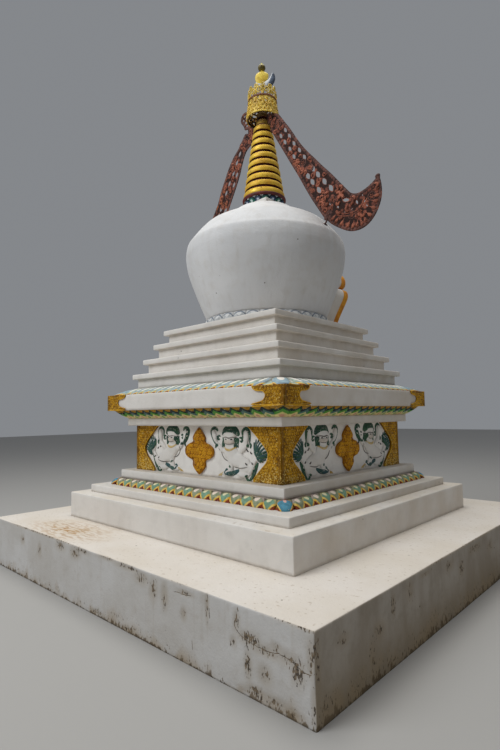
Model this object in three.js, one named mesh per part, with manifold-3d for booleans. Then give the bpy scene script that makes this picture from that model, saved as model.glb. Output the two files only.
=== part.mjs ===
// A whitewashed masonry stupa with painted lotus mouldings, gilded reliefs, a ringed spire and a pierced parasol.
// Millimetres, +Z up. The ground is z = 0, the axis is x = y = 0, and the side with the niche faces -Y.
import * as THREE from 'three';
import { mergeVertices } from 'three/addons/utils/BufferGeometryUtils.js';
import Module from 'manifold-3d';

const wasm = await Module();
wasm.setup();

// Driving dimensions

const SEAT = 0.3; // joint left between a piece and the piece that carries it
const SIDES = ['front', 'right', 'back', 'left']; // -Y, +X, +Y and -X
const CORNERS = ['front_right', 'back_right', 'back_left', 'front_left'];

// Heights of the upper face of each course
const Z = {
  platform: 489, lowerStep: 757, upperStep: 837, lowerLotus: 906, baseSlab: 998, die: 1494, topSlab: 1577,
  upperLotus: 1666, cornice: 1840, stepLotus: 1916, footRing: 2690, dome: 4020, harmika: 4090,
  spireLotus: 4150, collar: 4185,
};
// Half widths of the square courses
const HALF = {
  platform: 2192, lowerStep: 1602, upperStep: 1443, baseSlab: 1202, die: 1050, topSlab: 1151, cornice: 1300,
  harmika: 220,
};
const DIE_RELIEF = 27; // how far the gilded ornament stands out from the die
const CORNICE_RELIEF = 15;

// Four diminishing steps under the dome: each has a plain body and a projecting lip
const STEP_BODIES = [1070, 985, 900, 815];
const STEP_TOPS = [2078, 2249, 2424, 2589];
const STEP_LIP = { out: 46, height: 56 };

// Lotus mouldings: petals to a side, and how deep the notches between them are
const PETALS = { lower: 18, upper: 18, step: 16, foot: 30, spire: 16 };

// The dome: a straight flaring wall, a round shoulder and a flatter crown, as [radius, height]
const DOME_PROFILE = [
  [700, 2690], [747, 2800], [828, 3000], [901, 3200], [930, 3300], [948, 3400], [951, 3450], [945, 3500],
  [930, 3550], [900, 3600], [865, 3650], [824, 3700], [777, 3750], [722, 3800], [634, 3850], [537, 3900],
  [449, 3950], [350, 4020],
];
const DOME_FACETS = 40;

// The niche stands on the top step and leans outwards with the wall of the dome
const NICHE = { footY: -855, lean: 0.34, rim: 80, back: -560, arch: { half: 235, foot: 2760, spring: 3080, crown: 3400 } };

// The spire: thirteen rings, the upper three narrower, under the skirt of the parasol
const RINGS = { count: 13, foot: 4185, pitch: 93.7, gap: 20, radius: 250, taper: 14.5, neckFrom: 10, neckRadius: 80 };
const SPIRE_TOP = RINGS.foot + RINGS.count * RINGS.pitch - RINGS.gap / 2;

const PARASOL = { skirtFoot: 5307, lid: 5420, crown: 5615, footRadius: 200, radius: 176, wall: 8, windows: 10 };
// The moon and the sun face the corner between the -X and +Y sides. The moon is tilted, and one horn has broken off
const FINIAL_TURN = (225 * Math.PI) / 180;
const CRESCENT = { horn: 126, foot: 5622, tips: 5785, thickness: 42, middle: 60, tilt: 0.32, brokenShare: 5 / 24 };
const SUN = { radius: 75, depth: 52, neck: 5842 };
const TOP = 5945;

// The two streamers: flat pierced plates in the plane through the axis, from the parasol to upturned tails
const STREAMER_PLATE = 10;
const ROD = { radius: 9, from: [930, 3752], to: [850, 3600] };

// Materials

const paint = (color, roughness, metalness = 0) => new THREE.MeshStandardMaterial({ color, roughness, metalness });
const MATERIAL = {
  plaster: paint(0xd9d6d0, 0.9),
  lotus: paint(0x7fa08a, 0.7),
  gilt: paint(0xb8862d, 0.5, 0.4),
  lion: paint(0xe2e0da, 0.8),
  maroon: paint(0x5a1512, 0.6),
  ring: paint(0xd9ac3a, 0.4, 0.5),
  copper: paint(0x6b4a42, 0.6, 0.6),
  moon: paint(0xc9ced6, 0.6),
};

// Solids: joining and cutting closed shapes

function solid(geometry) {
  const bare = geometry.index ? geometry.toNonIndexed() : geometry.clone();
  bare.deleteAttribute('normal');
  bare.deleteAttribute('uv');
  const merged = mergeVertices(bare, 1e-3);
  const triangles = [];
  for (let i = 0; i < merged.index.count; i += 3) {
    const [a, b, c] = [merged.index.getX(i), merged.index.getX(i + 1), merged.index.getX(i + 2)];
    if (a !== b && b !== c && a !== c) triangles.push(a, b, c);
  }
  const mesh = new wasm.Mesh({
    numProp: 3,
    vertProperties: new Float32Array(merged.attributes.position.array),
    triVerts: new Uint32Array(triangles),
  });
  return new wasm.Manifold(mesh);
}

function shell(manifold) {
  const { vertProperties, triVerts, numProp } = manifold.getMesh();
  const positions = new Float32Array((vertProperties.length / numProp) * 3);
  for (let i = 0; i < positions.length / 3; i += 1) {
    positions.set(vertProperties.subarray(i * numProp, i * numProp + 3), i * 3);
  }
  const geometry = new THREE.BufferGeometry();
  geometry.setAttribute('position', new THREE.BufferAttribute(positions, 3));
  geometry.setIndex(new THREE.BufferAttribute(new Uint32Array(triVerts), 1));
  return geometry;
}

const join = (geometries) => shell(geometries.map(solid).reduce((sum, next) => sum.add(next)));
const cut = (geometry, tool) => shell(solid(geometry).subtract(solid(tool)));

// Forms: turned, stacked, lofted and relief shapes

// A profile of [radius, height] points, turned about the axis
function turned(profile, facets, start = 0) {
  const points = profile.map(([radius, z]) => new THREE.Vector2(radius, z));
  return new THREE.LatheGeometry(points, facets, start).rotateX(Math.PI / 2);
}

const closed = (profile) => [[0, profile[0][1]], ...profile, [0, profile[profile.length - 1][1]]];

// A square course is a profile of [half width, height] turned in four facets
function squareCourse(profile) {
  return turned(closed(profile.map(([half, z]) => [half * Math.SQRT2, z])), 4, Math.PI / 4);
}

const slab = (half, foot, top) => squareCourse([[half, foot + SEAT], [half, top]]);

// Rings of [x, y, z] points of equal number, from the lowest to the highest, closed by a fan at each end
function loft(rings) {
  const count = rings[0].length;
  const last = (rings.length - 1) * count;
  const points = [...rings.flat(), [0, 0, rings[0][0][2]], [0, 0, rings[rings.length - 1][0][2]]];
  const low = rings.length * count;
  const high = low + 1;
  const faces = [];
  for (let i = 0; i < count; i += 1) {
    const next = (i + 1) % count;
    for (let level = 0; level < last; level += count) {
      faces.push(level + i, level + next, level + count + next, level + i, level + count + next, level + count + i);
    }
    faces.push(low, next, i, high, last + i, last + next);
  }
  const geometry = new THREE.BufferGeometry();
  geometry.setAttribute('position', new THREE.Float32BufferAttribute(points.flat(), 3));
  geometry.setIndex(faces);
  return geometry;
}

// Each petal is a notch and two shoulders, given as [place along the petal, share of the bulge]
const PETAL_PLAN = [[0, 0], [0.28, 1], [0.72, 1]];

// The plan of a lotus course round a square, with a broad petal on each corner
function squarePetals(half, notch, z, petals) {
  const corner = half * 0.045;
  const reach = half - notch - corner;
  const pitch = (2 * reach) / petals;
  const side = [];
  for (let petal = 0; petal < petals; petal += 1) {
    for (const [along, bulge] of PETAL_PLAN) side.push([-reach + (petal + along) * pitch, -(half - notch * (1 - bulge))]);
  }
  side.push([reach, -(half - notch)], [half - corner * 0.4, -half], [half, -(half - corner * 0.4)]);
  return [0, 1, 2, 3].flatMap((turn) => side.map(([x, y]) => {
    const angle = (turn * Math.PI) / 2;
    return [x * Math.cos(angle) - y * Math.sin(angle), x * Math.sin(angle) + y * Math.cos(angle), z];
  }));
}

function roundPetals(radius, notch, z, petals) {
  const ring = [];
  for (let petal = 0; petal < petals; petal += 1) {
    for (const [along, bulge] of PETAL_PLAN) {
      const angle = ((petal + along) / petals) * 2 * Math.PI;
      const r = radius - notch * (1 - bulge);
      ring.push([r * Math.cos(angle), r * Math.sin(angle), z]);
    }
  }
  return ring;
}

// A lotus course: levels are [half width or radius, notch, height] from its foot up
const lotusCourse = (plan, petals, levels) => loft(levels.map(([size, notch, z]) => plan(size, notch, z, petals)));

function outline(points) {
  return new THREE.Shape(points.map(([x, z]) => new THREE.Vector2(x, z)));
}

const mirrored = (points) => points.map(([x, z]) => [-x, z]).reverse();

// A flat shape in x and z, raised from a wall that faces -Y at the distance given
function relief(shape, distance, thickness) {
  const geometry = new THREE.ExtrudeGeometry(shape, { depth: thickness, bevelEnabled: false, curveSegments: 6 });
  return geometry.rotateX(Math.PI / 2).translate(0, -distance, 0);
}

// An outline of [width from the corner, height] wrapped round the corner between the -Y and +X sides
function cornerRelief(widths, half, thickness) {
  const face = half + SEAT + thickness;
  const right = [...widths.map(([width, z]) => [face - width, z]), [face, widths[widths.length - 1][1]], [face, widths[0][1]]];
  const front = relief(outline(right.reverse()), half + SEAT, thickness);
  const side = relief(outline(mirrored(right)), half + SEAT, thickness).rotateZ(Math.PI / 2);
  return join([front, side]);
}

// Ornament of the throne

const DIE_CORNER = [
  [336, 998 + SEAT], [326, 1034], [248, 1112], [182, 1176], [158, 1235], [163, 1270], [194, 1312], [254, 1372],
  [336, 1445], [400, 1494 - SEAT],
];
const CORNICE_CORNER = [
  [358, 1666 + SEAT], [350, 1682], [307, 1696], [246, 1709], [222, 1726], [208, 1750], [214, 1774], [238, 1792],
  [292, 1796], [340, 1812], [358, 1840 - SEAT],
];

// Half of the four-lobed boss, from its lower point to its upper point
const BOSS_HALF = [
  [0, 1017], [38, 1037], [78, 1066], [98, 1095], [98, 1137], [120, 1146], [165, 1160], [196, 1200], [218, 1250],
  [192, 1298], [166, 1322], [130, 1338], [92, 1347], [99, 1372], [96, 1402], [72, 1433], [34, 1456], [0, 1476],
];

// A lump of low relief on the -Y wall: centre, half sizes along x and z, depth and turn in degrees
const LARGE_LUMP = 6000; // above this area a lump has more facets
function lump(x, z, halfX, halfZ, depth, turn) {
  const angle = THREE.MathUtils.degToRad(turn);
  const facets = halfX * halfZ > LARGE_LUMP ? 8 : 6;
  const ball = new THREE.SphereGeometry(1, facets, 4).rotateX(Math.PI / 2).scale(halfX, halfZ, depth).rotateZ(angle);
  return ball.rotateX(Math.PI / 2).translate(x, -HALF.die, z);
}

// A snow lion sits beside the boss with both forepaws raised and its plumed tail towards the corner
const LION_LUMPS = [
  [430, 1368, 88, 78, 62, 0], [430, 1420, 106, 64, 54, 0], [440, 1255, 105, 90, 48, 0],
  [520, 1180, 150, 78, 46, -8], [620, 1135, 92, 88, 42, 0], [440, 1085, 40, 78, 38, -12], [400, 1045, 92, 34, 36, 0],
  [600, 1050, 96, 36, 36, 0], [300, 1290, 34, 92, 34, 50], [222, 1392, 38, 92, 38, 20], [648, 1392, 38, 92, 38, -6],
  [610, 1290, 36, 88, 34, -50], [720, 1130, 36, 105, 34, -28], [812, 1262, 80, 104, 42, 16],
];

function snowLion(side) {
  const lumps = LION_LUMPS.map(([x, z, halfX, halfZ, depth, turn]) => lump(side * x, z, halfX, halfZ, depth, side * turn));
  const wall = new THREE.BoxGeometry(2200, 200, 1000).translate(0, -(HALF.die + SEAT) + 100, 1250);
  return cut(join(lumps), wall);
}

// The dome, its niche and the spire

const domeSurface = (grow) => {
  const profile = DOME_PROFILE.map(([radius, z]) => [radius + grow, z]);
  return turned(closed([[profile[0][0], Z.footRing + SEAT - grow], ...profile.slice(1)]), DOME_FACETS);
};

// Half of the frame's outline: it widens to two lobes a side and ends in an ogee point
const NICHE_HALF = [
  [385, 2589 + SEAT], [430, 2860], [470, 3080], [490, 3180], [494, 3235], [470, 3262], [370, 3276], [392, 3300],
  [440, 3330], [454, 3370], [442, 3430], [405, 3490], [350, 3526], [262, 3556], [170, 3590], [78, 3632], [0, 3690],
];

// The arch of the recess, round at the springing and drawn up to a point
function archShape() {
  const { half, foot, spring, crown } = NICHE.arch;
  const arch = new THREE.Shape();
  arch.moveTo(-half, foot);
  arch.lineTo(half, foot);
  arch.lineTo(half, spring);
  arch.quadraticCurveTo(half, spring + (crown - spring) * 0.6, half * 0.4, spring + (crown - spring) * 0.78);
  arch.quadraticCurveTo(half * 0.12, spring + (crown - spring) * 0.86, 0, crown);
  arch.quadraticCurveTo(-half * 0.12, spring + (crown - spring) * 0.86, -half * 0.4, spring + (crown - spring) * 0.78);
  arch.quadraticCurveTo(-half, spring + (crown - spring) * 0.6, -half, spring);
  return arch;
}

// Slides each point of an upright shape outwards by its height above the top step
function lean(geometry) {
  const shear = new THREE.Matrix4().set(1, 0, 0, 0, 0, 1, -NICHE.lean, NICHE.lean * 2589, 0, 0, 1, 0, 0, 0, 0, 1);
  return geometry.applyMatrix4(shear);
}

function nicheSlice(backY, frontY) {
  const frame = outline([...NICHE_HALF, ...mirrored(NICHE_HALF).slice(1)]);
  frame.holes.push(new THREE.Path(archShape().getPoints(4)));
  return lean(relief(frame, -backY, backY - frontY));
}

const nicheFrame = () => nicheSlice(NICHE.footY + NICHE.rim - SEAT, NICHE.footY);

function nicheBody() {
  const block = solid(nicheSlice(NICHE.back, NICHE.footY + NICHE.rim));
  const footRing = solid(turned(closed([[746, Z.footRing - 200], [746, Z.footRing + 1]]), DOME_FACETS));
  return shell(block.subtract(solid(domeSurface(SEAT))).subtract(footRing));
}

function ringRadius(index) {
  const { radius, taper, neckFrom, neckRadius } = RINGS;
  return index < neckFrom ? radius - taper * index : neckRadius - 5 * (index - neckFrom);
}

function spireRings() {
  const profile = [];
  for (let index = 0; index < RINGS.count; index += 1) {
    const foot = RINGS.foot + SEAT + index * RINGS.pitch;
    const radius = ringRadius(index);
    const core = Math.min(radius, ringRadius(Math.min(index + 1, RINGS.count - 1))) - 14;
    profile.push([radius, foot], [radius - 6, foot + RINGS.pitch - RINGS.gap]);
    profile.push([core, foot + RINGS.pitch - RINGS.gap / 2]);
  }
  return turned(closed(profile), 16);
}

function parasolSkirt() {
  const { skirtFoot, lid, footRadius, radius, wall } = PARASOL;
  const underLid = SPIRE_TOP + 2 * SEAT;
  return turned([
    [0, underLid], [radius - wall, underLid], [radius + 2 - wall, skirtFoot + 60], [footRadius - wall, skirtFoot],
    [footRadius, skirtFoot], [radius + 6, skirtFoot + 55], [radius, skirtFoot + 64], [radius, lid], [0, lid],
  ], 24);
}

function parasolCrown() {
  const { lid, crown, radius, wall, windows } = PARASOL;
  const foot = lid + SEAT;
  const wallShape = turned([
    [radius - wall, foot], [radius, foot], [radius + 3, foot + 90], [radius - 2, crown - 30], [radius - 26, crown],
    [radius - 36, crown - 6], [radius - 10 - wall, crown - 34], [radius + 3 - wall, foot + 90], [radius - wall, foot],
  ], 20);
  const opening = outline([[0, 5448], [26, 5500], [0, 5560], [-26, 5500]]);
  let crownSolid = solid(wallShape);
  for (let i = 0; i < windows; i += 1) {
    const tool = relief(opening, radius - 40, 80).rotateZ(((i + 0.5) * 2 * Math.PI) / windows);
    crownSolid = crownSolid.subtract(solid(tool));
  }
  return shell(crownSolid);
}

const parasolStem = () => turned(closed([[20, PARASOL.lid + SEAT], [20, CRESCENT.foot - SEAT]]), 12);

// The moon is the lens left between two arcs through its horns
function arcThrough(halfChord, tipsZ, footZ, steps) {
  const rise = tipsZ - footZ;
  const radius = (halfChord ** 2 + rise ** 2) / (2 * rise);
  const centre = footZ + radius;
  const reach = Math.atan2(halfChord, centre - tipsZ);
  return Array.from({ length: steps + 1 }, (_, i) => {
    const angle = reach * (1 - (2 * i) / steps);
    return [-radius * Math.sin(angle), centre - radius * Math.cos(angle)];
  });
}

function tilted([x, z], centreZ) {
  const [sine, cosine] = [Math.sin(CRESCENT.tilt), Math.cos(CRESCENT.tilt)];
  return [x * cosine - (z - centreZ) * sine, centreZ + x * sine + (z - centreZ) * cosine];
}

// Radius of the arc through the horns, and the height of its centre
function arcCentre(footZ) {
  const rise = CRESCENT.tips - footZ;
  const radius = (CRESCENT.horn ** 2 + rise ** 2) / (2 * rise);
  return { radius, z: footZ + radius };
}

function crescentMoon() {
  const { horn, foot, tips, thickness, middle, brokenShare } = CRESCENT;
  const steps = 24;
  const broken = steps * brokenShare;
  const outer = arcThrough(horn, tips, foot, steps).slice(broken);
  const inner = arcThrough(horn, tips, foot + middle, steps).slice(broken, -1).reverse();
  const shape = outline([...outer, ...inner].map((point) => tilted(point, arcCentre(foot).z)));
  return relief(shape, -thickness / 2, thickness).rotateZ(FINIAL_TURN);
}

// Where the sun's centre comes when its rim rests on the moon's inner arc
function sunCentre() {
  const { radius, z } = arcCentre(CRESCENT.foot + CRESCENT.middle);
  const [shift, height] = tilted([0, z], arcCentre(CRESCENT.foot).z);
  return height - Math.sqrt((radius - SUN.radius - SEAT) ** 2 - shift ** 2);
}

function sunDisc() {
  const { radius, depth, neck } = SUN;
  const centre = sunCentre();
  const half = depth / 2;
  const disc = turned([[0, -half], [radius * 0.7, -half * 0.8], [radius, -5], [radius, 5], [radius * 0.7, half * 0.8], [0, half]], 32);
  const throat = turned(closed([[24, centre], [38, centre + radius * 0.6], [14, neck]]), 12);
  return join([disc.rotateX(Math.PI / 2).translate(0, 0, centre), throat]).rotateZ(FINIAL_TURN);
}

function finialJewel() {
  const foot = SUN.neck + SEAT;
  return turned(closed([
    [14, foot], [32, foot + 8], [44, foot + 26], [46, foot + 42], [40, foot + 62], [22, foot + 78], [12, foot + 84],
    [11, TOP - 6], [6, TOP],
  ]), 16);
}

// Streamers, as [distance from the axis, height]. Both have the same upturned tail, from its outer edge round the
// tip to its inner edge, and the same head against the rings and under the skirt of the parasol.
const TAIL = [
  [945, 4193], [1066, 4038], [1147, 3934], [1205, 3871], [1275, 3848], [1356, 3863], [1436, 3898], [1493, 3940],
  [1516, 3963], [1539, 3862], [1540, 3749], [1514, 3655], [1444, 3543], [1352, 3477], [1260, 3461], [1167, 3477],
  [1048, 3542], [951, 3614], [864, 3705], [802, 3803], [701, 3971],
];
const HEAD = [[142, 4995], [124.5, 5026], [124.5, 5124], [85.5, 5124], [85.5, 5214], [75.3, 5222], [75.3, 5290], [120, 5306]];
const TAIL_FROM = 1300;

// The left streamer is whole
const LEFT_STREAMER = {
  side: -1,
  tail: 1,
  outer: [
    [196, 5306], [241, 5196], [330, 5050], [416, 4920], [547, 4698], [650, 4552], [755, 4424], [855, 4298],
  ],
  inner: [[609, 4141], [535, 4284], [434, 4466], [334, 4648], [238, 4822]],
  panelOuter: [[196, 5306], [547, 4698], [945, 4193], [1147, 3934]],
  panelInner: [[100, 5090], [334, 4648], [609, 4141], [802, 3803]],
  bossHoles: [],
};

// The right one starts in a round boss beside the parasol, is broken through to a strip below it, and its tail is
// shorter
const RIGHT_STREAMER = {
  side: 1,
  tail: 0.8,
  outer: [
    [204, 5306], [206, 5375], [228, 5409], [262, 5428], [297, 5434], [335, 5427], [356, 5403], [367, 5368],
    [365, 5330], [345, 5294], [319, 5256], [302, 5209], [284, 5203], [245, 5187], [245, 5158], [242, 5130],
    [262, 5140], [296, 5147], [314, 5131], [349, 5082], [389, 5045], [407, 5012], [505, 4925], [600, 4804],
    [658, 4702], [736, 4566], [816, 4386], [862, 4316],
  ],
  inner: [[680, 4100], [609, 4266], [552, 4369], [476, 4504], [402, 4650], [364, 4756], [290, 4905], [215, 4960]],
  panelOuter: [[350, 5090], [658, 4702], [925, 4220], [1140, 3940]],
  panelInner: [[142, 5000], [402, 4650], [640, 4190], [802, 3803]],
  bossHoles: [[326, 5333], [272, 5350], [240, 5384], [225, 5296], [180, 5266]],
};
const LOZENGE = { length: 58, width: 15 };
const BOSS_HOLE = { length: 36, width: 22 };

// A point part of the way down the plate and part of the way across it
function acrossPlate({ panelOuter, panelInner }, down, across) {
  const at = (line) => {
    const t = down * (line.length - 1);
    const i = Math.min(Math.floor(t), line.length - 2);
    return [0, 1].map((k) => line[i][k] + (line[i + 1][k] - line[i][k]) * (t - i));
  };
  const [a, b] = [at(panelOuter), at(panelInner)];
  return [0, 1].map((k) => a[k] + (b[k] - a[k]) * across);
}

// Lozenge holes in two columns, in two panels with a solid rosette between them
const PANELS = [[0.3, 0.36, 0.42, 0.48, 0.54], [0.68, 0.74, 0.8, 0.86, 0.92]];
const COLUMNS = [0.32, 0.68];

function lozenge([x, z], [x1, z1], { length, width }) {
  const run = Math.hypot(x1 - x, z1 - z);
  const [dx, dz] = [(x1 - x) / run, (z1 - z) / run];
  return [[length, 0], [0, width], [-length, 0], [0, -width]].map(([a, b]) => [x + (a * dx - b * dz) / 2, z + (a * dz + b * dx) / 2]);
}

function streamerHoles(streamer) {
  const panelHoles = PANELS.flat().flatMap((down) => COLUMNS.map((across) => lozenge(
    acrossPlate(streamer, down, across), acrossPlate(streamer, down + 0.02, across), LOZENGE,
  )));
  return [...panelHoles, ...streamer.bossHoles.map(([x, z]) => lozenge([x, z], [x, z + 1], BOSS_HOLE))];
}

function streamerPlate(streamer) {
  const { side, tail, outer, inner } = streamer;
  const drawnIn = TAIL.map(([x, z]) => [x > TAIL_FROM ? TAIL_FROM + (x - TAIL_FROM) * tail : x, z]);
  const toSide = (list) => (side > 0 ? list : mirrored(list));
  const shape = outline(toSide([...outer, ...drawnIn, ...inner, ...HEAD]));
  for (const hole of streamerHoles(streamer)) {
    shape.holes.push(new THREE.Path(toSide(hole).map(([x, z]) => new THREE.Vector2(x, z))));
  }
  return relief(shape, -STREAMER_PLATE / 2, STREAMER_PLATE);
}

function streamerRod(side) {
  const [x0, z0] = ROD.from;
  const [x1, z1] = ROD.to;
  const reach = Math.hypot(x1 - x0, z1 - z0);
  const bar = new THREE.CylinderGeometry(ROD.radius, ROD.radius, reach, 10).rotateX(Math.PI / 2);
  return bar.rotateY(side * Math.atan2(x0 - x1, z0 - z1)).translate((side * (x0 + x1)) / 2, 0, (z0 + z1) / 2);
}

function streamer(kind) {
  const rod = solid(streamerRod(kind.side)).subtract(solid(domeSurface(SEAT)));
  return shell(solid(streamerPlate(kind)).add(rod));
}

// Assembly

const stupa = new THREE.Group();

function place(name, geometry, material, turn = 0) {
  const mesh = new THREE.Mesh(geometry, material);
  mesh.name = name;
  mesh.rotation.z = (turn * Math.PI) / 2;
  stupa.add(mesh);
}

function addThrone() {
  place('platform', squareCourse([[HALF.platform, 0], [HALF.platform, Z.platform]]), MATERIAL.plaster);
  place('lower_step', slab(HALF.lowerStep, Z.platform, Z.lowerStep), MATERIAL.plaster);
  place('upper_step', slab(HALF.upperStep, Z.lowerStep, Z.upperStep), MATERIAL.plaster);
  place('lower_lotus_band', lotusCourse(squarePetals, PETALS.lower, [
    [1300, 42, Z.upperStep + SEAT], [1285, 34, 868], [1222, 12, Z.lowerLotus],
  ]), MATERIAL.lotus);
  place('throne_base_slab', slab(HALF.baseSlab, Z.lowerLotus, Z.baseSlab), MATERIAL.plaster);
  place('throne_die', slab(HALF.die, Z.baseSlab, Z.die), MATERIAL.plaster);
  place('throne_top_slab', slab(HALF.topSlab, Z.die, Z.topSlab), MATERIAL.plaster);
  place('upper_lotus_band', lotusCourse(squarePetals, PETALS.upper, [
    [1158, 8, Z.topSlab + SEAT], [1284, 30, Z.upperLotus],
  ]), MATERIAL.lotus);
  place('cornice_slab', slab(HALF.cornice, Z.upperLotus, Z.cornice), MATERIAL.plaster);
  place('step_lotus_band', lotusCourse(squarePetals, PETALS.step, [
    [1292, 34, Z.cornice + SEAT], [1272, 34, 1890], [1086, 6, Z.stepLotus],
  ]), MATERIAL.lotus);
}

function addThroneOrnament() {
  const dieCorner = cornerRelief(DIE_CORNER, HALF.die, DIE_RELIEF - SEAT);
  const corniceCorner = cornerRelief(CORNICE_CORNER, HALF.cornice, CORNICE_RELIEF - SEAT);
  const boss = relief(outline([...BOSS_HALF, ...mirrored(BOSS_HALF).slice(1, -1)]), HALF.die + SEAT, DIE_RELIEF);
  const lions = { left: snowLion(-1), right: snowLion(1) };
  for (const [turn, side] of SIDES.entries()) {
    place(`throne_corner_${CORNERS[turn]}`, dieCorner, MATERIAL.gilt, turn);
    place(`cornice_corner_${CORNERS[turn]}`, corniceCorner, MATERIAL.gilt, turn);
    place(`quatrefoil_${side}`, boss, MATERIAL.gilt, turn);
    place(`snow_lion_${side}_left`, lions.left, MATERIAL.lion, turn);
    place(`snow_lion_${side}_right`, lions.right, MATERIAL.lion, turn);
  }
}

function addSteps() {
  let foot = Z.stepLotus;
  for (const [index, half] of STEP_BODIES.entries()) {
    const top = STEP_TOPS[index];
    const lipFoot = top - STEP_LIP.height;
    const lip = half + STEP_LIP.out;
    const profile = [[half, foot + SEAT], [half, lipFoot], [lip, lipFoot], [lip, top]];
    place(`step_${index + 1}`, squareCourse(profile), MATERIAL.plaster);
    foot = top;
  }
}

function addDome() {
  place('dome_foot_ring', lotusCourse(roundPetals, PETALS.foot, [
    [740, 14, STEP_TOPS[3] + SEAT], [742, 18, 2650], [712, 6, Z.footRing],
  ]), MATERIAL.lotus);
  place('dome', domeSurface(0), MATERIAL.plaster);
  place('niche_body', nicheBody(), MATERIAL.plaster);
  place('niche_frame', nicheFrame(), MATERIAL.gilt);
  place('harmika', slab(HALF.harmika, Z.dome, Z.harmika), MATERIAL.plaster);
}

function addSpire() {
  place('spire_lotus_ring', lotusCourse(roundPetals, PETALS.spire, [
    [205, 8, Z.harmika + SEAT], [238, 14, 4122], [246, 6, Z.spireLotus],
  ]), MATERIAL.lotus);
  place('spire_collar', turned(closed([
    [252, Z.spireLotus + SEAT], [262, Z.spireLotus + 8], [262, Z.collar - 6], [250, Z.collar],
  ]), 24), MATERIAL.maroon);
  place('spire_rings', spireRings(), MATERIAL.ring);
  place('parasol_skirt', parasolSkirt(), MATERIAL.ring);
  place('parasol_crown', parasolCrown(), MATERIAL.ring);
  place('parasol_stem', parasolStem(), MATERIAL.ring);
  place('crescent_moon', crescentMoon(), MATERIAL.moon);
  place('sun_disc', sunDisc(), MATERIAL.ring);
  place('finial_jewel', finialJewel(), MATERIAL.ring);
  place('streamer_left', streamer(LEFT_STREAMER), MATERIAL.copper);
  place('streamer_right', streamer(RIGHT_STREAMER), MATERIAL.copper);
}

addThrone();
addThroneOrnament();
addSteps();
addDome();
addSpire();

export default stupa;
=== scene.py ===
# %% [markdown]
# # A whitewashed stupa
# This lesson dresses a plain model of a small masonry stupa: square courses, painted lotus mouldings,
# gilded reliefs with snow lions, a dome, thirteen gilded rings, a pierced parasol and two pierced metal
# streamers. The plain model is the frame. It has the true sizes, so every finished piece reads its place
# from it.

# %% Load the frame
import math

import bmesh
import bpy
import numpy as np
from mathutils import Matrix, Vector, noise
from mathutils.bvhtree import BVHTree
from mathutils.geometry import tessellate_polygon


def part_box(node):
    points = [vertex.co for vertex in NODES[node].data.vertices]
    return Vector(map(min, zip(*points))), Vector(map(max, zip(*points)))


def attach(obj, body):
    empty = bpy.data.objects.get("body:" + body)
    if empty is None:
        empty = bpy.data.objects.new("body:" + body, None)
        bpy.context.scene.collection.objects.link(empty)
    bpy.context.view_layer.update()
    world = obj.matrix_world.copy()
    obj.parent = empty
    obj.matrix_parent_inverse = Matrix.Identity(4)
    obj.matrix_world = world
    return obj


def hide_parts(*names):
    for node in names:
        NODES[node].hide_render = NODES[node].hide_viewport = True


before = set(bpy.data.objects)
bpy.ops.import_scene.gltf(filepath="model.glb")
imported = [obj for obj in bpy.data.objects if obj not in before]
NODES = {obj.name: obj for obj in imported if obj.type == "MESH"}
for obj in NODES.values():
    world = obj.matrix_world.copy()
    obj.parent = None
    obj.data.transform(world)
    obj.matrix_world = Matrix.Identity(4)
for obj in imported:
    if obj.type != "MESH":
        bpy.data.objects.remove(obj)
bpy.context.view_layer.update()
SIDES = ("front", "right", "back", "left")
CORNERS = ("front_right", "back_right", "back_left", "front_left")


# %% [markdown]
# ## Camera
# The photograph was taken by someone standing off one corner, with the eye 1.6 m above the ground and the
# lens tipped up a little. The three directions of the camera are the columns of its turning matrix.

# %% Camera
def placed(name, data):
    """Puts a mesh, a lamp or a camera into the scene as an object."""
    thing = bpy.data.objects.new(name, data)
    bpy.context.scene.collection.objects.link(thing)
    return thing


def add_camera(place, right, up, forward, lens):
    camera = placed("camera", bpy.data.cameras.new("camera"))
    camera.data.lens = lens
    camera.data.sensor_width = 36.0
    camera.data.clip_end = 100.0
    columns = Matrix((right, up, -Vector(forward))).transposed()
    camera.matrix_world = Matrix.Translation(place) @ columns.to_4x4()
    bpy.context.scene.camera = camera
    return camera


EYE = Vector((-3.715, 4.269, 1.600))
RIGHT, UP, FORWARD = (-0.7291, -0.6842, -0.0155), (-0.0671, 0.0490, 0.9966), (0.6811, -0.7277, 0.0816)
camera = add_camera(EYE, RIGHT, UP, FORWARD, 23.15)
print("camera at", tuple(round(v, 2) for v in EYE), "lens", camera.data.lens, "mm")


# %% [markdown]
# ## Floor and light
# A studio keeps the attention on the piece: a pale floor, a pale surround that lights every side, and one
# very large soft lamp. The lamp stands on the side of the brighter face, so the two faces that meet at the
# near corner differ in tone as they do under a veiled sky. The Standard view keeps the paints as bright as
# mixed.

# %% Floor and light
def add_floor(reach):
    mesh = bpy.data.meshes.new("floor")
    corners = [(-reach, -reach, 0), (reach, -reach, 0), (reach, reach, 0), (-reach, reach, 0)]
    mesh.from_pydata(corners, [], [(0, 1, 2, 3)])
    material = bpy.data.materials.new("studio_floor")
    material.use_nodes = True
    shader = material.node_tree.nodes["Principled BSDF"]
    shader.inputs["Base Color"].default_value = (0.42, 0.41, 0.39, 1)
    shader.inputs["Roughness"].default_value = 0.9
    mesh.materials.append(material)
    placed("floor", mesh)


def add_lamp(name, place, size, watts, colour):
    light = bpy.data.lights.new(name, "AREA")
    light.shape = "DISK"
    light.size = size
    light.energy = watts
    light.color = colour
    lamp = placed(name, light)
    lamp.location = place
    lamp.rotation_euler = (Vector((0, 0, 2.2)) - Vector(place)).to_track_quat("-Z", "Y").to_euler()


def add_surround(colour, strength):
    world = bpy.data.worlds.new("studio")
    bpy.context.scene.world = world
    world.use_nodes = True
    background = world.node_tree.nodes["Background"]
    background.inputs["Color"].default_value = (*colour, 1)
    background.inputs["Strength"].default_value = strength


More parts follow.
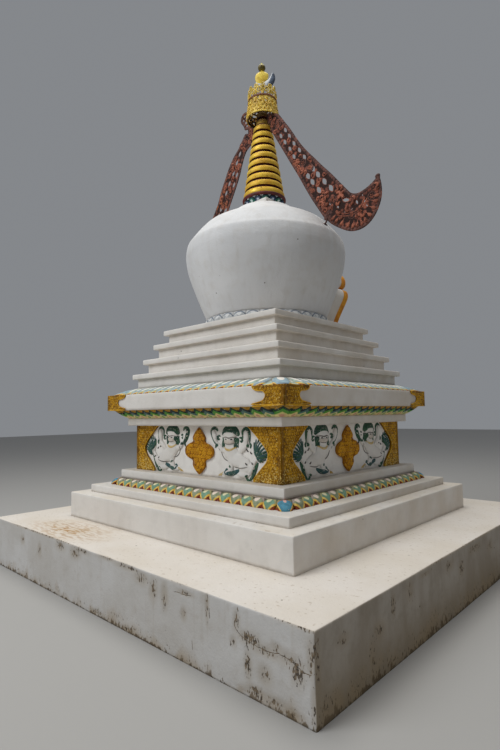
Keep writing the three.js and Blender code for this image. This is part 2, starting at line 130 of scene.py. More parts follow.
add_floor(40)
add_lamp("key", (2.5, 10.0, 9.5), 7.0, 700, (0.96, 0.98, 1.0))
add_lamp("sky", (0.0, 0.0, 13.0), 9.0, 760, (1.0, 0.98, 0.94))
add_surround((0.90, 0.94, 1.0), 0.26)
bpy.context.scene.view_settings.view_transform = "Standard"
print("floor, two lamps and a pale surround")


# %% [markdown]
# ## A small kit for paint
# Every finish here is a tree of nodes. Four to six plain numbers stand for patches of noise: their scale,
# their detail, the two levels between which they fade in, and their strength and stretch where that is not
# 1. Patterns read Object coordinates, which stay still on the piece from every side.

# %% Paint kit
def tone(code, share=1.0):
    """A colour as Blender's Hex field shows it, turned into the linear values that shaders use."""
    values = [int(code[start:start + 2], 16) for start in (1, 3, 5)]
    return tuple(share * (((v / 255 + 0.055) / 1.055) ** 2.4 if v > 10 else v / 3295) for v in values) + (1,)


def add_node(tree, kind, values, output=0, **settings):
    """Adds a node to a tree. Each of its inputs gets a value, or the socket that feeds it."""
    node = tree.nodes.new(kind)
    for key, value in settings.items():
        setattr(node, key, value)
    for socket, value in values.items():
        if isinstance(value, bpy.types.NodeSocket):
            tree.links.new(value, node.inputs[socket])
        else:
            node.inputs[socket].default_value = value
    return node.outputs[output]


class Paint:
    """A material and its tree. An amount is a socket, or the numbers of some patches of noise."""

    def __init__(self, name, roughness, metallic=0.0, specular=0.5):
        self.material = bpy.data.materials.new(name)
        self.material.use_nodes = True
        self.tree = self.material.node_tree
        self.shader = self.tree.nodes["Principled BSDF"]
        self.shader.inputs["Roughness"].default_value = roughness
        self.shader.inputs["Metallic"].default_value = metallic
        self.shader.inputs["Specular IOR Level"].default_value = specular
        self.place = self.add("TexCoord", {}, "Object")

    def add(self, kind, values, output=0, **settings):
        values = {key: tone(value) if isinstance(value, str) else value for key, value in values.items()}
        return add_node(self.tree, "ShaderNode" + kind, values, output, **settings)

    def noise(self, scale, detail=4.0, stretch=(1, 1, 1)):
        place = self.add("Mapping", {"Vector": self.place, "Scale": stretch})
        return self.add("TexNoise", {"Vector": place, "Scale": scale, "Detail": detail}, "Fac")

    def swing(self, scale, detail, reach, stretch=(1, 1, 1)):
        """Noise that swings about zero, by half the reach each way."""
        return self.times(self.minus(self.noise(scale, detail, stretch), 0.5), reach)

    def cells(self, scale):
        return self.add("TexVoronoi", {"Vector": self.place, "Scale": scale}, "Distance")

    def attribute(self, name):
        return self.add("Attribute", {}, "Fac", attribute_name=name)

    def axis(self, letter, vector=None):
        return self.add("SeparateXYZ", {0: vector or self.place}, letter)

    def facing(self, letter):
        return self.axis(letter, self.add("NewGeometry", {}, "Normal"))

    def math(self, operation, first, second=0.0):
        return self.add("Math", {0: self.amount(first), 1: self.amount(second)}, operation=operation)

    def plus(self, first, second):
        return self.math("ADD", first, second)

    def minus(self, first, second):
        return self.math("SUBTRACT", first, second)

    def times(self, first, second):
        return self.math("MULTIPLY", first, second)

    def over(self, first, second):
        return self.math("DIVIDE", first, second)

    def mask(self, value, low, high, top=1.0):
        """Nothing below low, the top value above high, and a soft step between them."""
        values = {"Value": value, "From Min": low, "From Max": high, "To Max": top}
        return self.add("MapRange", values, "Result", interpolation_type="SMOOTHSTEP")

    def patches(self, scale, detail, low, high, top=1.0, stretch=(1, 1, 1)):
        return self.mask(self.noise(scale, detail, stretch), low, high, top)

    def amount(self, value):
        return self.patches(*value) if isinstance(value, tuple) else value

    def layers(self, colour, *coats):
        """Lays coats over a colour, each given as its amount and its own colour."""
        for amount, shade in coats:
            values = {"Factor": self.amount(amount), 6: colour, 7: shade}
            colour = self.add("Mix", values, 2, data_type="RGBA")
        return colour

    def plaster_grain(self):
        return self.plus(self.noise(75), self.times(self.noise(9, 3), 3.0))

    def finish(self, colour, height, depth=0.001, strength=0.4, roughness=None):
        bump = self.add("Bump", {"Height": height, "Strength": strength, "Distance": depth})
        for name, socket in (("Base Color", colour), ("Normal", bump), ("Roughness", roughness)):
            if socket:
                self.tree.links.new(socket, self.shader.inputs[name])
        return self.material


print("paint kit ready")


# %% [markdown]
# ## Whitewash
# Lime wash over hand-trowelled plaster is never one white. Here a warm and a cool white drift into each
# other, rain leaves faint upright streaks, dust warms whatever faces up, and a darker line of grime and
# painted shade lies where one course meets the next and under each lip. An attribute on the meshes says
# where: `grime_and_shade` for these lines. The mesh gives their rough place and the noise gives the ragged
# edge. The side that faces -X is a little browner than the others.

# %% Whitewash
def whitewash(name, light, deep, streaks, dust):
    paint = Paint(name, 0.92)
    up = paint.mask(paint.facing("Z"), 0.55, 0.95)
    # the -X side is tinted a little browner than the others
    minus_x_side = paint.mask(paint.facing("X"), -0.5, -0.95)
    ragged = paint.times(paint.attribute("grime_and_shade"), (9.0, 7, -0.2, 0.9))
    white = paint.layers(
        light,
        ((1.3, 4, 0.35, 0.65), deep),
        ((9.0, 6, 0.45, 0.8, 0.4), "#ccc7c0"),
        ((2.2, 5, 0.5, 0.72, streaks, (7, 7, 0.45)), "#b0a89c"),
        (paint.times(minus_x_side, (3.0, 6, 0.2, 0.8, dust)), "#c0ae94"),
        (paint.times(up, (2.1, 6, 0.25, 0.75, dust)), "#deceb4"),
        (paint.times(up, (23, 8, 0.6, 0.75, dust)), "#a08a6e"),
        # grime and painted shade: a darker ragged line at the foot of each course and under its lip
        (paint.mask(ragged, 0.0, 0.9, 0.34), "#96866e"),
        (paint.times(paint.mask(paint.cells(6.0), 0.05, 0.025), (1.7, 2, 0.52, 0.6)), "#5c5044"),
    )
    return paint.finish(white, paint.plaster_grain(), 0.004, 0.5)


COURSE_WASH = whitewash("whitewashed_courses", "#e5e1db", "#ddd8d1", 0.05, 0.45)
DIE_WASH = whitewash("whitewashed_die", "#f4f1ec", "#eeeae4", 0.03, 0.2)
DOME_WASH = whitewash("whitewashed_dome", "#e0e0e0", "#d6d6d6", 0.14, 0.08)
print("whitewash mixed three times")


# %% [markdown]
# The platform gets a recipe of its own. Its mesh notes where the wash is chipped, which sides take a darker
# coat, how far a point is from a crack and where earth was splashed. The chips come from upright noise that
# is pushed over its threshold near the noted places only, so they are as fine as a fingernail although the
# mesh is coarser.

# %% Platform paint
def platform_paint():
    paint = Paint("whitewashed_platform", 0.94)
    rain = paint.noise(2.6, 6, (9, 9, 0.5))
    # a darker, streaky coat, strongest on the -X side
    damp = paint.layers(
        "#aea599",
        ((2.2, 7, 0.35, 0.68, 1, (2, 2, 0.8)), "#9a8f80"),
        (paint.mask(rain, 0.5, 0.72, 0.12), "#928674"),
        ((13, 7, 0.45, 0.7, 0.35), "#8e8474"),
        (paint.mask(paint.axis("Z"), 0.36, 0.02, 0.7), "#88785e"),
    )
    stain = paint.attribute("stain")
    top = paint.layers(
        "#e4ddd4",
        ((1.8, 5, 0.3, 0.7), "#dcd3c6"),
        ((31, 8, 0.6, 0.72, 0.5), "#ac9a84"),
        (paint.times(stain, (4, 6, 0.3, 0.6, 0.55, (1, 2, 1))), "#ceb692"),
        (paint.times(stain, (8, 8, 0.46, 0.58, 1, (1, 4, 1))), "#ae844e"),
    )
    splash = paint.attribute("grime_and_shade")
    rim = paint.mask(paint.plus(splash, paint.swing(34, 8, 1.5, (1, 1, 0.5))), 0.78, 0.96, 0.85)
    specks = paint.times(paint.mask(splash, 0.02, 0.5), (58, 7, 0.58, 0.66, 0.85, (1, 1, 0.5)))
    line = paint.math("ABSOLUTE", paint.plus(paint.attribute("crack"), paint.swing(38, 5, 0.020)))
    crack = paint.times(paint.mask(line, 0.0030, 0.0010), paint.mask(paint.attribute("beside"), 0.5, 0.9))
    worn = paint.attribute("bare")
    chance = paint.plus(paint.swing(74, 9, 2.3, (1, 1, 0.42)), paint.swing(12, 4, 1.3, (1, 1, 0.7)))
    bare = paint.math("MAXIMUM", paint.mask(paint.plus(worn, chance), 0.83, 0.95, 0.9), crack)
    white = paint.layers(
        "#cbc9c6",
        ((1.6, 5, 0.35, 0.65), "#bebab4"),
        ((14, 6, 0.5, 0.8, 0.4), "#b0a89e"),
        (paint.mask(rain, 0.55, 0.75, 0.2), "#a89d8d"),
        (paint.attribute("damp"), damp),
        (paint.mask(paint.facing("Z"), 0.6, 0.95), top),
        (paint.times(splash, (8, 7, 0.3, 0.66, 0.7, (1, 1, 0.7))), "#a08a68"),
        (paint.math("MAXIMUM", rim, specks), "#5c4a30"),
        (paint.mask(worn, 0.1, 0.9, 0.4), "#968468"),
        (bare, paint.layers("#3e3224", ((44, 5, 0.4, 0.6), "#806e56"))),
        (paint.times(paint.mask(paint.cells(7.0), 0.07, 0.03), (1.9, 2, 0.5, 0.58)), "#5c4e3e"),
    )
    return paint.finish(white, paint.minus(paint.plaster_grain(), paint.times(bare, 1.6)), 0.004, 0.55)


PLATFORM_WASH = platform_paint()
print("platform paint mixed")


# %% [markdown]
# ## A small kit for meshes
# Most of the masonry is a profile carried round a square or round a circle. Both kinds are built as rings
# of points with quads between them, closed by a fan at each end. `finish_piece` ties a piece to the frame:
# it rides on the only body and stands for its plain node, which it hides.

# %% Mesh kit
def new_piece(name, points, faces, material, smooth=True):
    mesh = bpy.data.meshes.new(name)
    mesh.from_pydata([tuple(p) for p in points], [], faces)
    mesh.validate()
    mesh.materials.append(material)
    if smooth:
        mesh.shade_smooth()
    return placed(name, mesh)


def finish_piece(piece, node):
    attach(piece, "root")
    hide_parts(node)
    return piece


def circle(count, phase=0.0):
    """The ways round a circle at even steps, each as (cosine, sine)."""
    turns = [2 * math.pi * (i + phase) / count for i in range(count)]
    return [(math.cos(a), math.sin(a)) for a in turns]


def ring_faces(levels, count, ends=True):
    """Quads between rings of equal count, which run anticlockwise from the lowest to the highest. Fans to
    two last points close the ends. Without ends, the last ring is joined to the first."""
    faces = []
    for level in range(levels - 1 if ends else levels):
        a, b = level * count, (level + 1) % levels * count
        for i in range(count):
            j = (i + 1) % count
            faces.append((a + i, a + j, b + j, b + i))
    if ends:
        foot, top = levels * count, levels * count + 1
        last = (levels - 1) * count
        faces += [(foot, (i + 1) % count, i) for i in range(count)]
        faces += [(top, last + i, last + (i + 1) % count) for i in range(count)]
    return faces


def rounded(profile, radius):
    """Rounds the corners of a profile, an open list of [size, height], with three points at each corner."""
    points = [Vector(profile[0])]
    for before, corner, after in zip(profile, profile[1:], profile[2:]):
        before, corner, after = Vector(before), Vector(corner), Vector(after)
        cut = min(radius, (before - corner).length / 2.2, (after - corner).length / 2.2)
        start = corner + (before - corner).normalized() * cut
        end = corner + (after - corner).normalized() * cut
        points += [start, (start + end + 2 * corner) / 4, end]
    return points + [Vector(profile[-1])]


def divided(profile, cell):
    """Adds points along a profile so that no stretch is longer than the cell."""
    points = [Vector(profile[0])]
    for start, end in zip(profile, profile[1:]):
        start, end = Vector(start), Vector(end)
        count = max(1, math.ceil((end - start).length / cell))
        points += [start.lerp(end, (i + 1) / count) for i in range(count)]
    return points


QUARTER_TURNS = ((1, 0, 0, 1), (0, -1, 1, 0), (-1, 0, 0, -1), (0, 1, -1, 0))


def square_ring(half, z, cells, corner):
    """A square with rounded corners, anticlockwise from the -Y side, always with the same number of
    points."""
    reach = half - corner
    side = [(-reach + 2 * reach * i / cells, -half) for i in range(cells + 1)]
    for a in (math.pi / 6, math.pi / 3):
        side.append((reach + corner * math.sin(a), -reach - corner * math.cos(a)))
    return [(a * x + b * y, c * x + d * y, z) for a, b, c, d in QUARTER_TURNS for x, y in side]


def put_attribute(piece, name, values):
    attribute = piece.data.attributes.new(name, "FLOAT", "POINT")
    attribute.data.foreach_set("value", np.asarray(values, np.float32))


def sway(point, scale, seed=0.0):
    """Smooth noise between about -1 and 1 at a place in space."""
    return noise.noise(Vector(point) * scale + Vector((seed, seed, seed)))


print("mesh kit ready")


# %% [markdown]
# ## Square courses
# The stacked squares are brick under plaster, shaped by hand with a float. A plain box would look machined,
# so each course is a profile swept round a square: its arrises are rounded, its faces wave by a few
# millimetres, and a line of dirt and painted shade is noted where it stands on the course below and under
# each projecting lip.

# %% Square courses
WAVE = 0.003
CELL_STRETCH = 2.0  # the mesh needs fewer cells along a course than up it


def course(node, material, profile, arris, cell):
    """A swept square. The profile is an open list of [half width, height] from the foot to the top edge."""
    foot, top = profile[0][1], profile[-1][1]
    inner = profile[-1][0] * 0.55
    line = divided(rounded([*profile, (inner, top)], arris), cell)
    widest = max(half for half, _ in profile)
    cells = max(8, round(2 * widest / (cell * CELL_STRETCH)))
    points, grime_and_shade = [], []
    for half, z in line:
        for x, y, _ in square_ring(half, z, cells, min(arris, half / 8)):
            inward = WAVE * (0.5 + 0.5 * sway((x, y, z), 1.9)) if z < top - 0.001 else 0
            shrink = 1 - inward / widest
            points.append((x * shrink, y * shrink, z))
            grime_and_shade.append(dirt_and_shade_line(profile, half, z, foot))
    count = len(points) // len(line)
    points += [(0, 0, foot), (0, 0, top)]
    piece = new_piece(node + "_plaster", points, ring_faces(len(line), count), material)
    put_attribute(piece, "grime_and_shade", grime_and_shade + [0, 0])
    return finish_piece(piece, node)


def dirt_and_shade_line(profile, half, z, foot):
    """Strongest at the foot of the course and in the corner under its lip. At the foot it is dirt with
    painted shade, and under the lip it is mostly painted shade.
    """
    at_foot = max(0.0, 1 - (z - foot) / 0.035)
    under_lip = 0.0
    if len(profile) > 2 and z <= profile[2][1] + 0.001:
        under_lip = max(0.0, 1 - (profile[1][1] - z) / 0.05)
    return max(0.75 * at_foot, 0.9 * under_lip)


def plain_course(node):
    low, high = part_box(node)
    wash = DIE_WASH if node == "throne_die" else COURSE_WASH
    return course(node, wash, [(high.x, low.z), (high.x, high.z)], 0.009, 0.03)


PLAIN_COURSES = ("lower_step", "upper_step", "throne_base_slab", "throne_die", "throne_top_slab",
                 "cornice_slab",
                 "harmika")
for node in PLAIN_COURSES:
    plain_course(node)
print("plain courses:", len(PLAIN_COURSES))


# %% [markdown]
# The four steps under the dome have a lip along their upper edge. The lip's overhang and depth are the same
# on all four, so only the outer size is read from the frame.

# %% Steps under the dome
LIP_OUT = 0.046
LIP_DEPTH = 0.056


def lipped_step(node):
    low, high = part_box(node)
    body = high.x - LIP_OUT
    under = high.z - LIP_DEPTH
    profile = [(body, low.z), (body, under), (high.x, under), (high.x, high.z)]
    return course(node, COURSE_WASH, profile, 0.008, 0.028)


for number in range(1, 5):
    lipped_step(f"step_{number}")
print("steps with lips: 4")


# %% [markdown]
# ## The weathered platform
# The platform is the oldest looking piece: the wash has come off its faces in small upright chips, the
# upper edge is worn, a crack runs to the near corner, and splashed earth has browned the foot. The mesh
# sinks a little under the worst places and carries five notes for the paint: chips, cracks, a darker coat on
# some sides, straw stains and splashes.

# %% Worn places
# Each worn place is [along the side, height, half length, half height] on a side seen from outside
WORN_ONE = (
    (-0.62, 0.44, 0.10, 0.05), (-0.34, 0.42, 0.09, 0.05), (-0.25, 0.47, 0.16, 0.03), (0.18, 0.48, 0.16, 0.02),
    (0.45, 0.47, 0.16, 0.03), (0.66, 0.43, 0.10, 0.05), (0.80, 0.38, 0.05, 0.09), (0.93, 0.37, 0.04, 0.10),
    (1.16, 0.44, 0.09, 0.02), (1.37, 0.41, 0.02, 0.10), (1.63, 0.39, 0.03, 0.07), (1.72, 0.32, 0.10, 0.04),
    (1.86, 0.29, 0.13, 0.035), (2.00, 0.30, 0.08, 0.05), (2.08, 0.25, 0.05, 0.09), (1.72, 0.17, 0.03, 0.09),
    (1.85, 0.16, 0.05, 0.06), (1.78, 0.05, 0.10, 0.03), (1.95, 0.04, 0.10, 0.04), (2.17, 0.34, 0.03, 0.10),
    (2.18, 0.12, 0.02, 0.12), (-1.45, 0.36, 0.05, 0.05), (-1.05, 0.33, 0.04, 0.07), (1.78, 0.31, 0.05, 0.03),
    (1.94, 0.33, 0.05, 0.03), (2.08, 0.29, 0.05, 0.03), (0.94, 0.34, 0.02, 0.06), (1.14, 0.30, 0.03, 0.05),
    (1.98, 0.03, 0.16, 0.03), (1.75, 0.03, 0.10, 0.02), (0.04, 0.03, 0.12, 0.02), (0.45, 0.02, 0.10, 0.02),
    (1.60, 0.27, 0.03, 0.04), (0.13, 0.48, 0.10, 0.015), (0.50, 0.465, 0.14, 0.02),
)
WORN_TWO = (
    (-2.17, 0.30, 0.03, 0.20), (-2.06, 0.08, 0.08, 0.08), (-1.92, 0.36, 0.06, 0.04),
    (-1.62, 0.16, 0.04, 0.10),
    (-1.52, 0.28, 0.07, 0.07), (-1.34, 0.38, 0.03, 0.08), (-1.10, 0.40, 0.05, 0.08),
    (-0.85, 0.45, 0.10, 0.02),
    (-0.40, 0.40, 0.10, 0.05), (-0.16, 0.32, 0.06, 0.07), (0.18, 0.42, 0.14, 0.04), (0.57, 0.36, 0.08, 0.06),
    (1.20, 0.45, 0.12, 0.03), (1.75, 0.30, 0.05, 0.10),
)
WORN = (WORN_TWO, WORN_ONE, WORN_ONE, WORN_TWO)
CRACKS = (  # on the +Y side, as points along the crack
    ((1.62, 0.41), (1.61, 0.36), (1.65, 0.325), (1.70, 0.306), (1.79, 0.296), (1.89, 0.291), (1.95, 0.308),
     (2.02, 0.300), (2.08, 0.280), (2.11, 0.262), (2.17, 0.268)),
    ((1.03, 0.420), (1.09, 0.428), (1.15, 0.426), (1.22, 0.433)),
    ((1.390, 0.41), (1.394, 0.335)), ((-0.28, 0.46), (-0.27, 0.40)), ((1.223, 0.17), (1.228, 0.105)),
)
STRAW = (0.95, 1.95)  # the middle of the straw stains on the top
DARKER_COAT_BY_SIDE = (0.55, 0.45, 0.0, 1.0)  # one value for each side, the strongest along -X
SPLASH = (0.10, 0.11, 0.09, 0.15)  # how high the earth was splashed on each side


def side_place(x, y):
    """The side that a point is on, and its distance along that side as someone facing it sees it."""
    if abs(x) > abs(y):
        return (1, y) if x > 0 else (3, -y)
    return (2, -x) if y > 0 else (0, x)


def worn_amount(side, along, z, edge, top):
    """How likely the wash is chipped. edge is the distance in from the face, which is above 0 on the top
    only."""
    value = 0.0
    for place, height, reach, rise in WORN[side]:
        spread = math.hypot((along - place) / (reach * 1.9), (z - height) / (rise * 1.8))
        value = max(value, 1 - spread)
    arris = max(0.0, 1 - (abs(z - top) + edge) / 0.03) * (0.35 + 1.2 * sway((along, side, 0), 1.3, 3.6))
    return max(0.0, max(value, arris) * max(0.0, 1 - edge / 0.03))


def crack_distance(along, z):
    """The distance to the nearest crack, negative on one side of it, and 1 beside it or 0 beyond its ends."""
    best, near = 0.05, 0.0
    for path in CRACKS:
        for number, (a, b) in enumerate(zip(path, path[1:])):
            span = (b[0] - a[0], b[1] - a[1])
            length = math.hypot(*span)
            share = ((along - a[0]) * span[0] + (z - a[1]) * span[1]) / length ** 2
            beyond = (share < 0 and number == 0) or (share > 1 and number == len(path) - 2)
            share = min(1.0, max(0.0, share))
            dx, dz = along - a[0] - share * span[0], z - a[1] - share * span[1]
            distance = math.hypot(dx, dz)
            if distance < abs(best):
                best = distance if dx * span[1] - dz * span[0] > 0 else -distance
                near = 0.0 if beyond else 1.0
    return best, near


def platform_piece():
    low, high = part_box("platform")
    half, top = high.x, high.z
    line = divided(rounded([(half, 0), (half, top), (half - 0.09, top)], 0.009), 0.0135)
    line += [Vector((half - inset, top)) for inset in (0.14, 0.22, 0.4, 0.62)]
    cells = round(2 * half / 0.015)
    points = []
    notes = {"grime_and_shade": [], "bare": [], "crack": [], "beside": [], "damp": [], "stain": []}
    for size, z in line:
        for x, y, _ in square_ring(size, z, cells, 0.012):
            side, along = side_place(x, y)
            edge = max(0.0, half - size) if z > top - 0.001 else 0.0
            worn = worn_amount(side, along, z, edge, top)
            sunk = 0.003 * min(1, max(0, (worn - 0.45) / 0.3)) + 0.004 * (0.5 + 0.5 * sway((x, y, z), 1.7))
            shrink = 1 if edge > 0.012 else 1 - sunk / half
            points.append((x * shrink, y * shrink, z))
            reach = SPLASH[side] * (1.0 + 0.8 * sway((x, y, 0), 3.0, 5) + 0.9 * sway((x, y, 0), 14.0, 6))
            notes["grime_and_shade"].append(max(0.0, 1 - z / max(0.012, reach)))
            notes["bare"].append(worn)
            crack, beside = crack_distance(along, z) if side == 2 and edge == 0 else (0.05, 0.0)
            notes["crack"].append(crack)
            notes["beside"].append(beside)
            notes["damp"].append(DARKER_COAT_BY_SIDE[side])
            notes["stain"].append(max(0.0, 1 - math.hypot((x - STRAW[0]) / 0.75, (y - STRAW[1]) / 0.30)))
    count = len(points) // len(line)
    points += [(0, 0, 0), (0, 0, top)]
    piece = new_piece("platform_plaster", points, ring_faces(len(line), count), PLATFORM_WASH)
    for name, values in notes.items():
        put_attribute(piece, name, values + [values[-1]] * 2)
    return finish_piece(piece, "platform")


platform = platform_piece()
print("platform faces:", len(platform.data.polygons))


# %% [markdown]
# ## The dome
# The dome is a turned form. Its profile is read from the frame and drawn smoothly through those points,
# then carried round the axis. A low noise keeps it from looking machine made, and a soft edge is left at
# the shoulder where the crown's coat of plaster was brought down over the wall.

# %% Turned forms
def profile_of(node):
    """The [radius, height] points of a turned node, from its foot up."""
    sizes = {}
    for vertex in NODES[node].data.vertices:
        x, y, z = vertex.co
        sizes[round(z, 4)] = max(sizes.get(round(z, 4), 0.0), math.hypot(x, y))
    return [Vector((radius, z)) for z, radius in sorted(sizes.items())]


def smooth_line(points, steps, cyclic=False):
    """A curve that passes through the points, with a number of steps between each two."""
    points = [Vector(p) for p in points]
    last = len(points) if cyclic else len(points) - 1
    line = []
    for i in range(last):
        before = points[i - 1] if cyclic or i else points[0]
        start, end = points[i], points[(i + 1) % len(points)]
        after = points[(i + 2) % len(points)] if cyclic or i + 2 < len(points) else end
        for step in range(steps):
            t = step / steps
            line.append(0.5 * (2 * start + (end - before) * t
                               + (2 * before - 5 * start + 4 * end - after) * t * t
                               + (3 * start - before - 3 * end + after) * t ** 3))
    return line if cyclic else line + [points[-1]]


def turned_points(profile, segments):
    """Rings of points round the axis, and the two poles."""
    points = [(r * c, r * s, z) for r, z in profile for c, s in circle(segments)]
    return points + [(0, 0, profile[0][1]), (0, 0, profile[-1][1])]


def turned_piece(name, profile, segments, material):
    return new_piece(name, turned_points(profile, segments), ring_faces(len(profile), segments), material)


CROWN_EDGE = 3.565  # where the flatter crown begins, with a soft edge that shows in the light
CROWN_FILL = 0.012
DOME_SEGMENTS = 180


def dome_piece():
    profile = profile_of("dome")
    line = [profile[0], *smooth_line(profile[1:], 5)]
    line = divided(line, 0.024)
    points = []
    for x, y, z in turned_points(line, DOME_SEGMENTS):
        radius = math.hypot(x, y)
        height = z - CROWN_EDGE - 0.012 * sway((x, y, 0), 1.5)
        hollow = CROWN_FILL * (1 - math.exp(-abs(height) / 0.07)) * math.exp(-(height / 0.22) ** 2)
        inward = 0.005 * (0.5 + 0.5 * sway((x, y, z), 1.6)) + hollow
        shrink = 1 - inward / radius if radius > 0.1 else 1
        points.append((x * shrink, y * shrink, z))
    piece = new_piece("dome_plaster", points, ring_faces(len(line), DOME_SEGMENTS), DOME_WASH)
    # the foot of the dome is darker where it meets the lotus ring: dirt and painted shade
    put_attribute(piece, "grime_and_shade", [max(0.0, 1 - (p[2] - 2.69) / 0.05) * 0.7 for p in points])
    return finish_piece(piece, "dome")


dome = dome_piece()
print("dome faces:", len(dome.data.polygons))


# %% [markdown]
# ## Geometry Nodes for rows
# A lotus moulding is one petal repeated at even steps along a line. Geometry Nodes suit that well: the line
# becomes a curve, the curve is cut into as many points as there are petals, and a petal stands on each
# point, turned to follow the line. The tree ends by making the copies real, because a plain mesh travels
# everywhere.

# %% Node tree kit
class Tree:
    """A Geometry Nodes tree whose inputs are made by name and whose nodes are joined as they are added."""

    def __init__(self, name):
        self.group = bpy.data.node_groups.new(name, "GeometryNodeTree")
        self.group.interface.new_socket("Geometry", in_out="OUTPUT", socket_type="NodeSocketGeometry")
        self.start = self.group.nodes.new("NodeGroupInput")
        self.end = self.group.nodes.new("NodeGroupOutput")

    def input(self, name, kind):
        self.group.interface.new_socket(name, in_out="INPUT", socket_type="NodeSocket" + kind)
        return self.start.outputs[name]

    def add(self, kind, values, output=0, **settings):
        return add_node(self.group, kind, values, output, **settings)

    def close(self, geometry, material):
        real = self.add("GeometryNodeRealizeInstances", {"Geometry": geometry})
        painted = self.add("GeometryNodeSetMaterial", {"Geometry": real, "Material": material})
        self.group.links.new(painted, self.end.inputs[0])


def evaluated_mesh(thing):
    """What the modifiers make of an object, as a plain smooth mesh."""
    bpy.context.view_layer.update()
    mesh = bpy.data.meshes.new_from_object(thing.evaluated_get(bpy.context.evaluated_depsgraph_get()))
    mesh.shade_smooth()
    return mesh


def wire(name, points, edges):
    """Loose points and edges, as a base for a tree."""
    mesh = bpy.data.meshes.new(name)
    mesh.from_pydata([tuple(p) for p in points], edges, [])
    return placed(name, mesh)


def grown(name, base, tree, **inputs):
    """Runs the tree on a base object with the inputs given by name, and keeps only the resulting plain
    mesh."""
    modifier = base.modifiers.new(tree.group.name, "NODES")
    modifier.node_group = tree.group
    for item in tree.group.interface.items_tree:
        key = item.name.lower().replace(" ", "_")
        if item.in_out == "INPUT" and key in inputs:
            modifier[item.identifier] = inputs[key]
    piece = placed(name, evaluated_mesh(base))
    bpy.data.objects.remove(base)
    return piece


def joined(name, pieces):
    """Makes one object of several, keeping their materials and attributes."""
    bpy.context.view_layer.update()
    with bpy.context.temp_override(active_object=pieces[0], selected_editable_objects=pieces):
        bpy.ops.object.join()
    pieces[0].name = name
    pieces[0].data.name = name
    return pieces[0]


def row_tree():
    tree = Tree("petal_row")
    line = tree.input("Line", "Geometry")
    petal = tree.input("Petal", "Object")
    count = tree.input("Count", "Int")
    material = tree.input("Material", "Material")
    curve = tree.add("GeometryNodeMeshToCurve", {"Mesh": line})
    steps = tree.add("GeometryNodeResampleCurve", {"Curve": curve, "Count": count})
    shape = tree.add("GeometryNodeObjectInfo", {"Object": petal}, "Geometry")
    along = tree.add("GeometryNodeInputTangent", {})
    turn = tree.add("FunctionNodeAlignRotationToVector", {"Vector": along}, axis="X")
    row = tree.add("GeometryNodeInstanceOnPoints", {"Points": steps, "Instance": shape, "Rotation": turn})
    tree.close(row, material)
    return tree


ROW = row_tree()


def row_of(petal, points, edges, count, material):
    """Copies of a petal at even steps along a line. The petal itself is used up."""
    row = grown("row", wire("line", points, edges), ROW, petal=petal, count=count, material=material)
    bpy.data.objects.remove(petal)
    return row


print("row tree:", len(ROW.group.nodes), "nodes")


# %% [markdown]
# ## Lotus paint
# Each petal carries a UV map: across from edge to edge and upwards from foot to tip. One recipe paints them
# all: bands of colour follow an arch, which is the height plus a share of the squared distance from the
# middle, and a pale tongue lies inside the arch. Where two petals meet at the foot, a dark red triangle
# shows in a yellow frame. Neighbouring petals differ in colour, so each moulding mixes two such paints.

# %% Lotus paint
def lotus_paint(name, body, bands, tongue=None, place=(0.5, 0.74), size=(0.17, 0.26), arch=1.8, power=2.0,
                gap=None):
    """bands is a list of (from this arch height, colour). The tongue is an oval at a place of the petal.
    The arch is round with a power of 2 and pointed with a power of 1. The gap is the height and the half
    width of a dark red triangle in a yellow frame that fills the corner between the feet of two petals."""
    paint = Paint(name, 0.75)
    uv = paint.add("UVMap", {})
    ragged = paint.swing(42, 4, 0.10)
    across = paint.minus(paint.axis("X", uv), 0.5)
    outwards = paint.math("ABSOLUTE", across)
    rise = paint.plus(paint.axis("Y", uv), ragged)
    height = paint.plus(rise, paint.times(paint.math("POWER", outwards, power), arch))
    coats = [((26, 5, 0.42, 0.62), tone(body, 0.72))]
    if tongue:
        sideways = paint.over(paint.plus(paint.minus(0.5 - place[0], ragged), across), size[0])
        upwards = paint.over(paint.minus(rise, place[1]), size[1])
        oval = paint.plus(paint.times(sideways, sideways), paint.times(upwards, upwards))
        coats.append((paint.mask(oval, 1.15, 0.8), tongue))
    coats += [(paint.mask(height, start - 0.02, start + 0.02), shade) for start, shade in bands]
    if gap:
        corner = paint.plus(paint.over(paint.minus(0.5, outwards), gap[1]), paint.over(rise, gap[0]))
        yellow = paint.layers("#e4b43a", ((30, 3, 0.4, 0.6), "#e8ca70"))
        red = paint.layers("#6c1e0c", ((40, 3, 0.4, 0.6), "#964216"))
        coats += [(paint.mask(corner, 1.56, 1.46), yellow), (paint.mask(corner, 1.00, 0.90), red)]
    coats.append(((60, 6, 0.64, 0.72, 0.8), "#cdc8bc"))
    return paint.finish(paint.layers(body, *coats), paint.noise(90, 3), 0.0015)


OCHRE = "#b0841e"
LOWER_LOTUS = (
    lotus_paint("lotus_mauve", "#96a080", [(0.90, "#b0a096"), (1.10, "#706c5a")],
                "#f4e2d0", (0.42, 0.72), (0.20, 0.30), gap=(0.40, 0.29)),
    lotus_paint("lotus_green", "#80a88c", [(0.90, "#a8a676"), (1.10, "#6c6a50")],
                "#ece4ba", (0.42, 0.74), (0.17, 0.26), gap=(0.40, 0.29)),
)
UPPER_LOTUS = (
    lotus_paint("lotus_green_tipped", "#e8d496", [(0.48, "#cec878"), (0.56, "#4e9234"),
                (0.82, "#143420"), (1.02, OCHRE)], "#c69478", (0.5, 0.20), (0.16, 0.16), 0.72, 1.0),
    lotus_paint("lotus_blue_tipped", "#ded096", [(0.46, "#c4c88c"), (0.54, "#487068"),
                (0.78, "#16282c"), (1.02, OCHRE)], "#78a054", (0.5, 0.20), (0.18, 0.16), 0.72, 1.0),
)
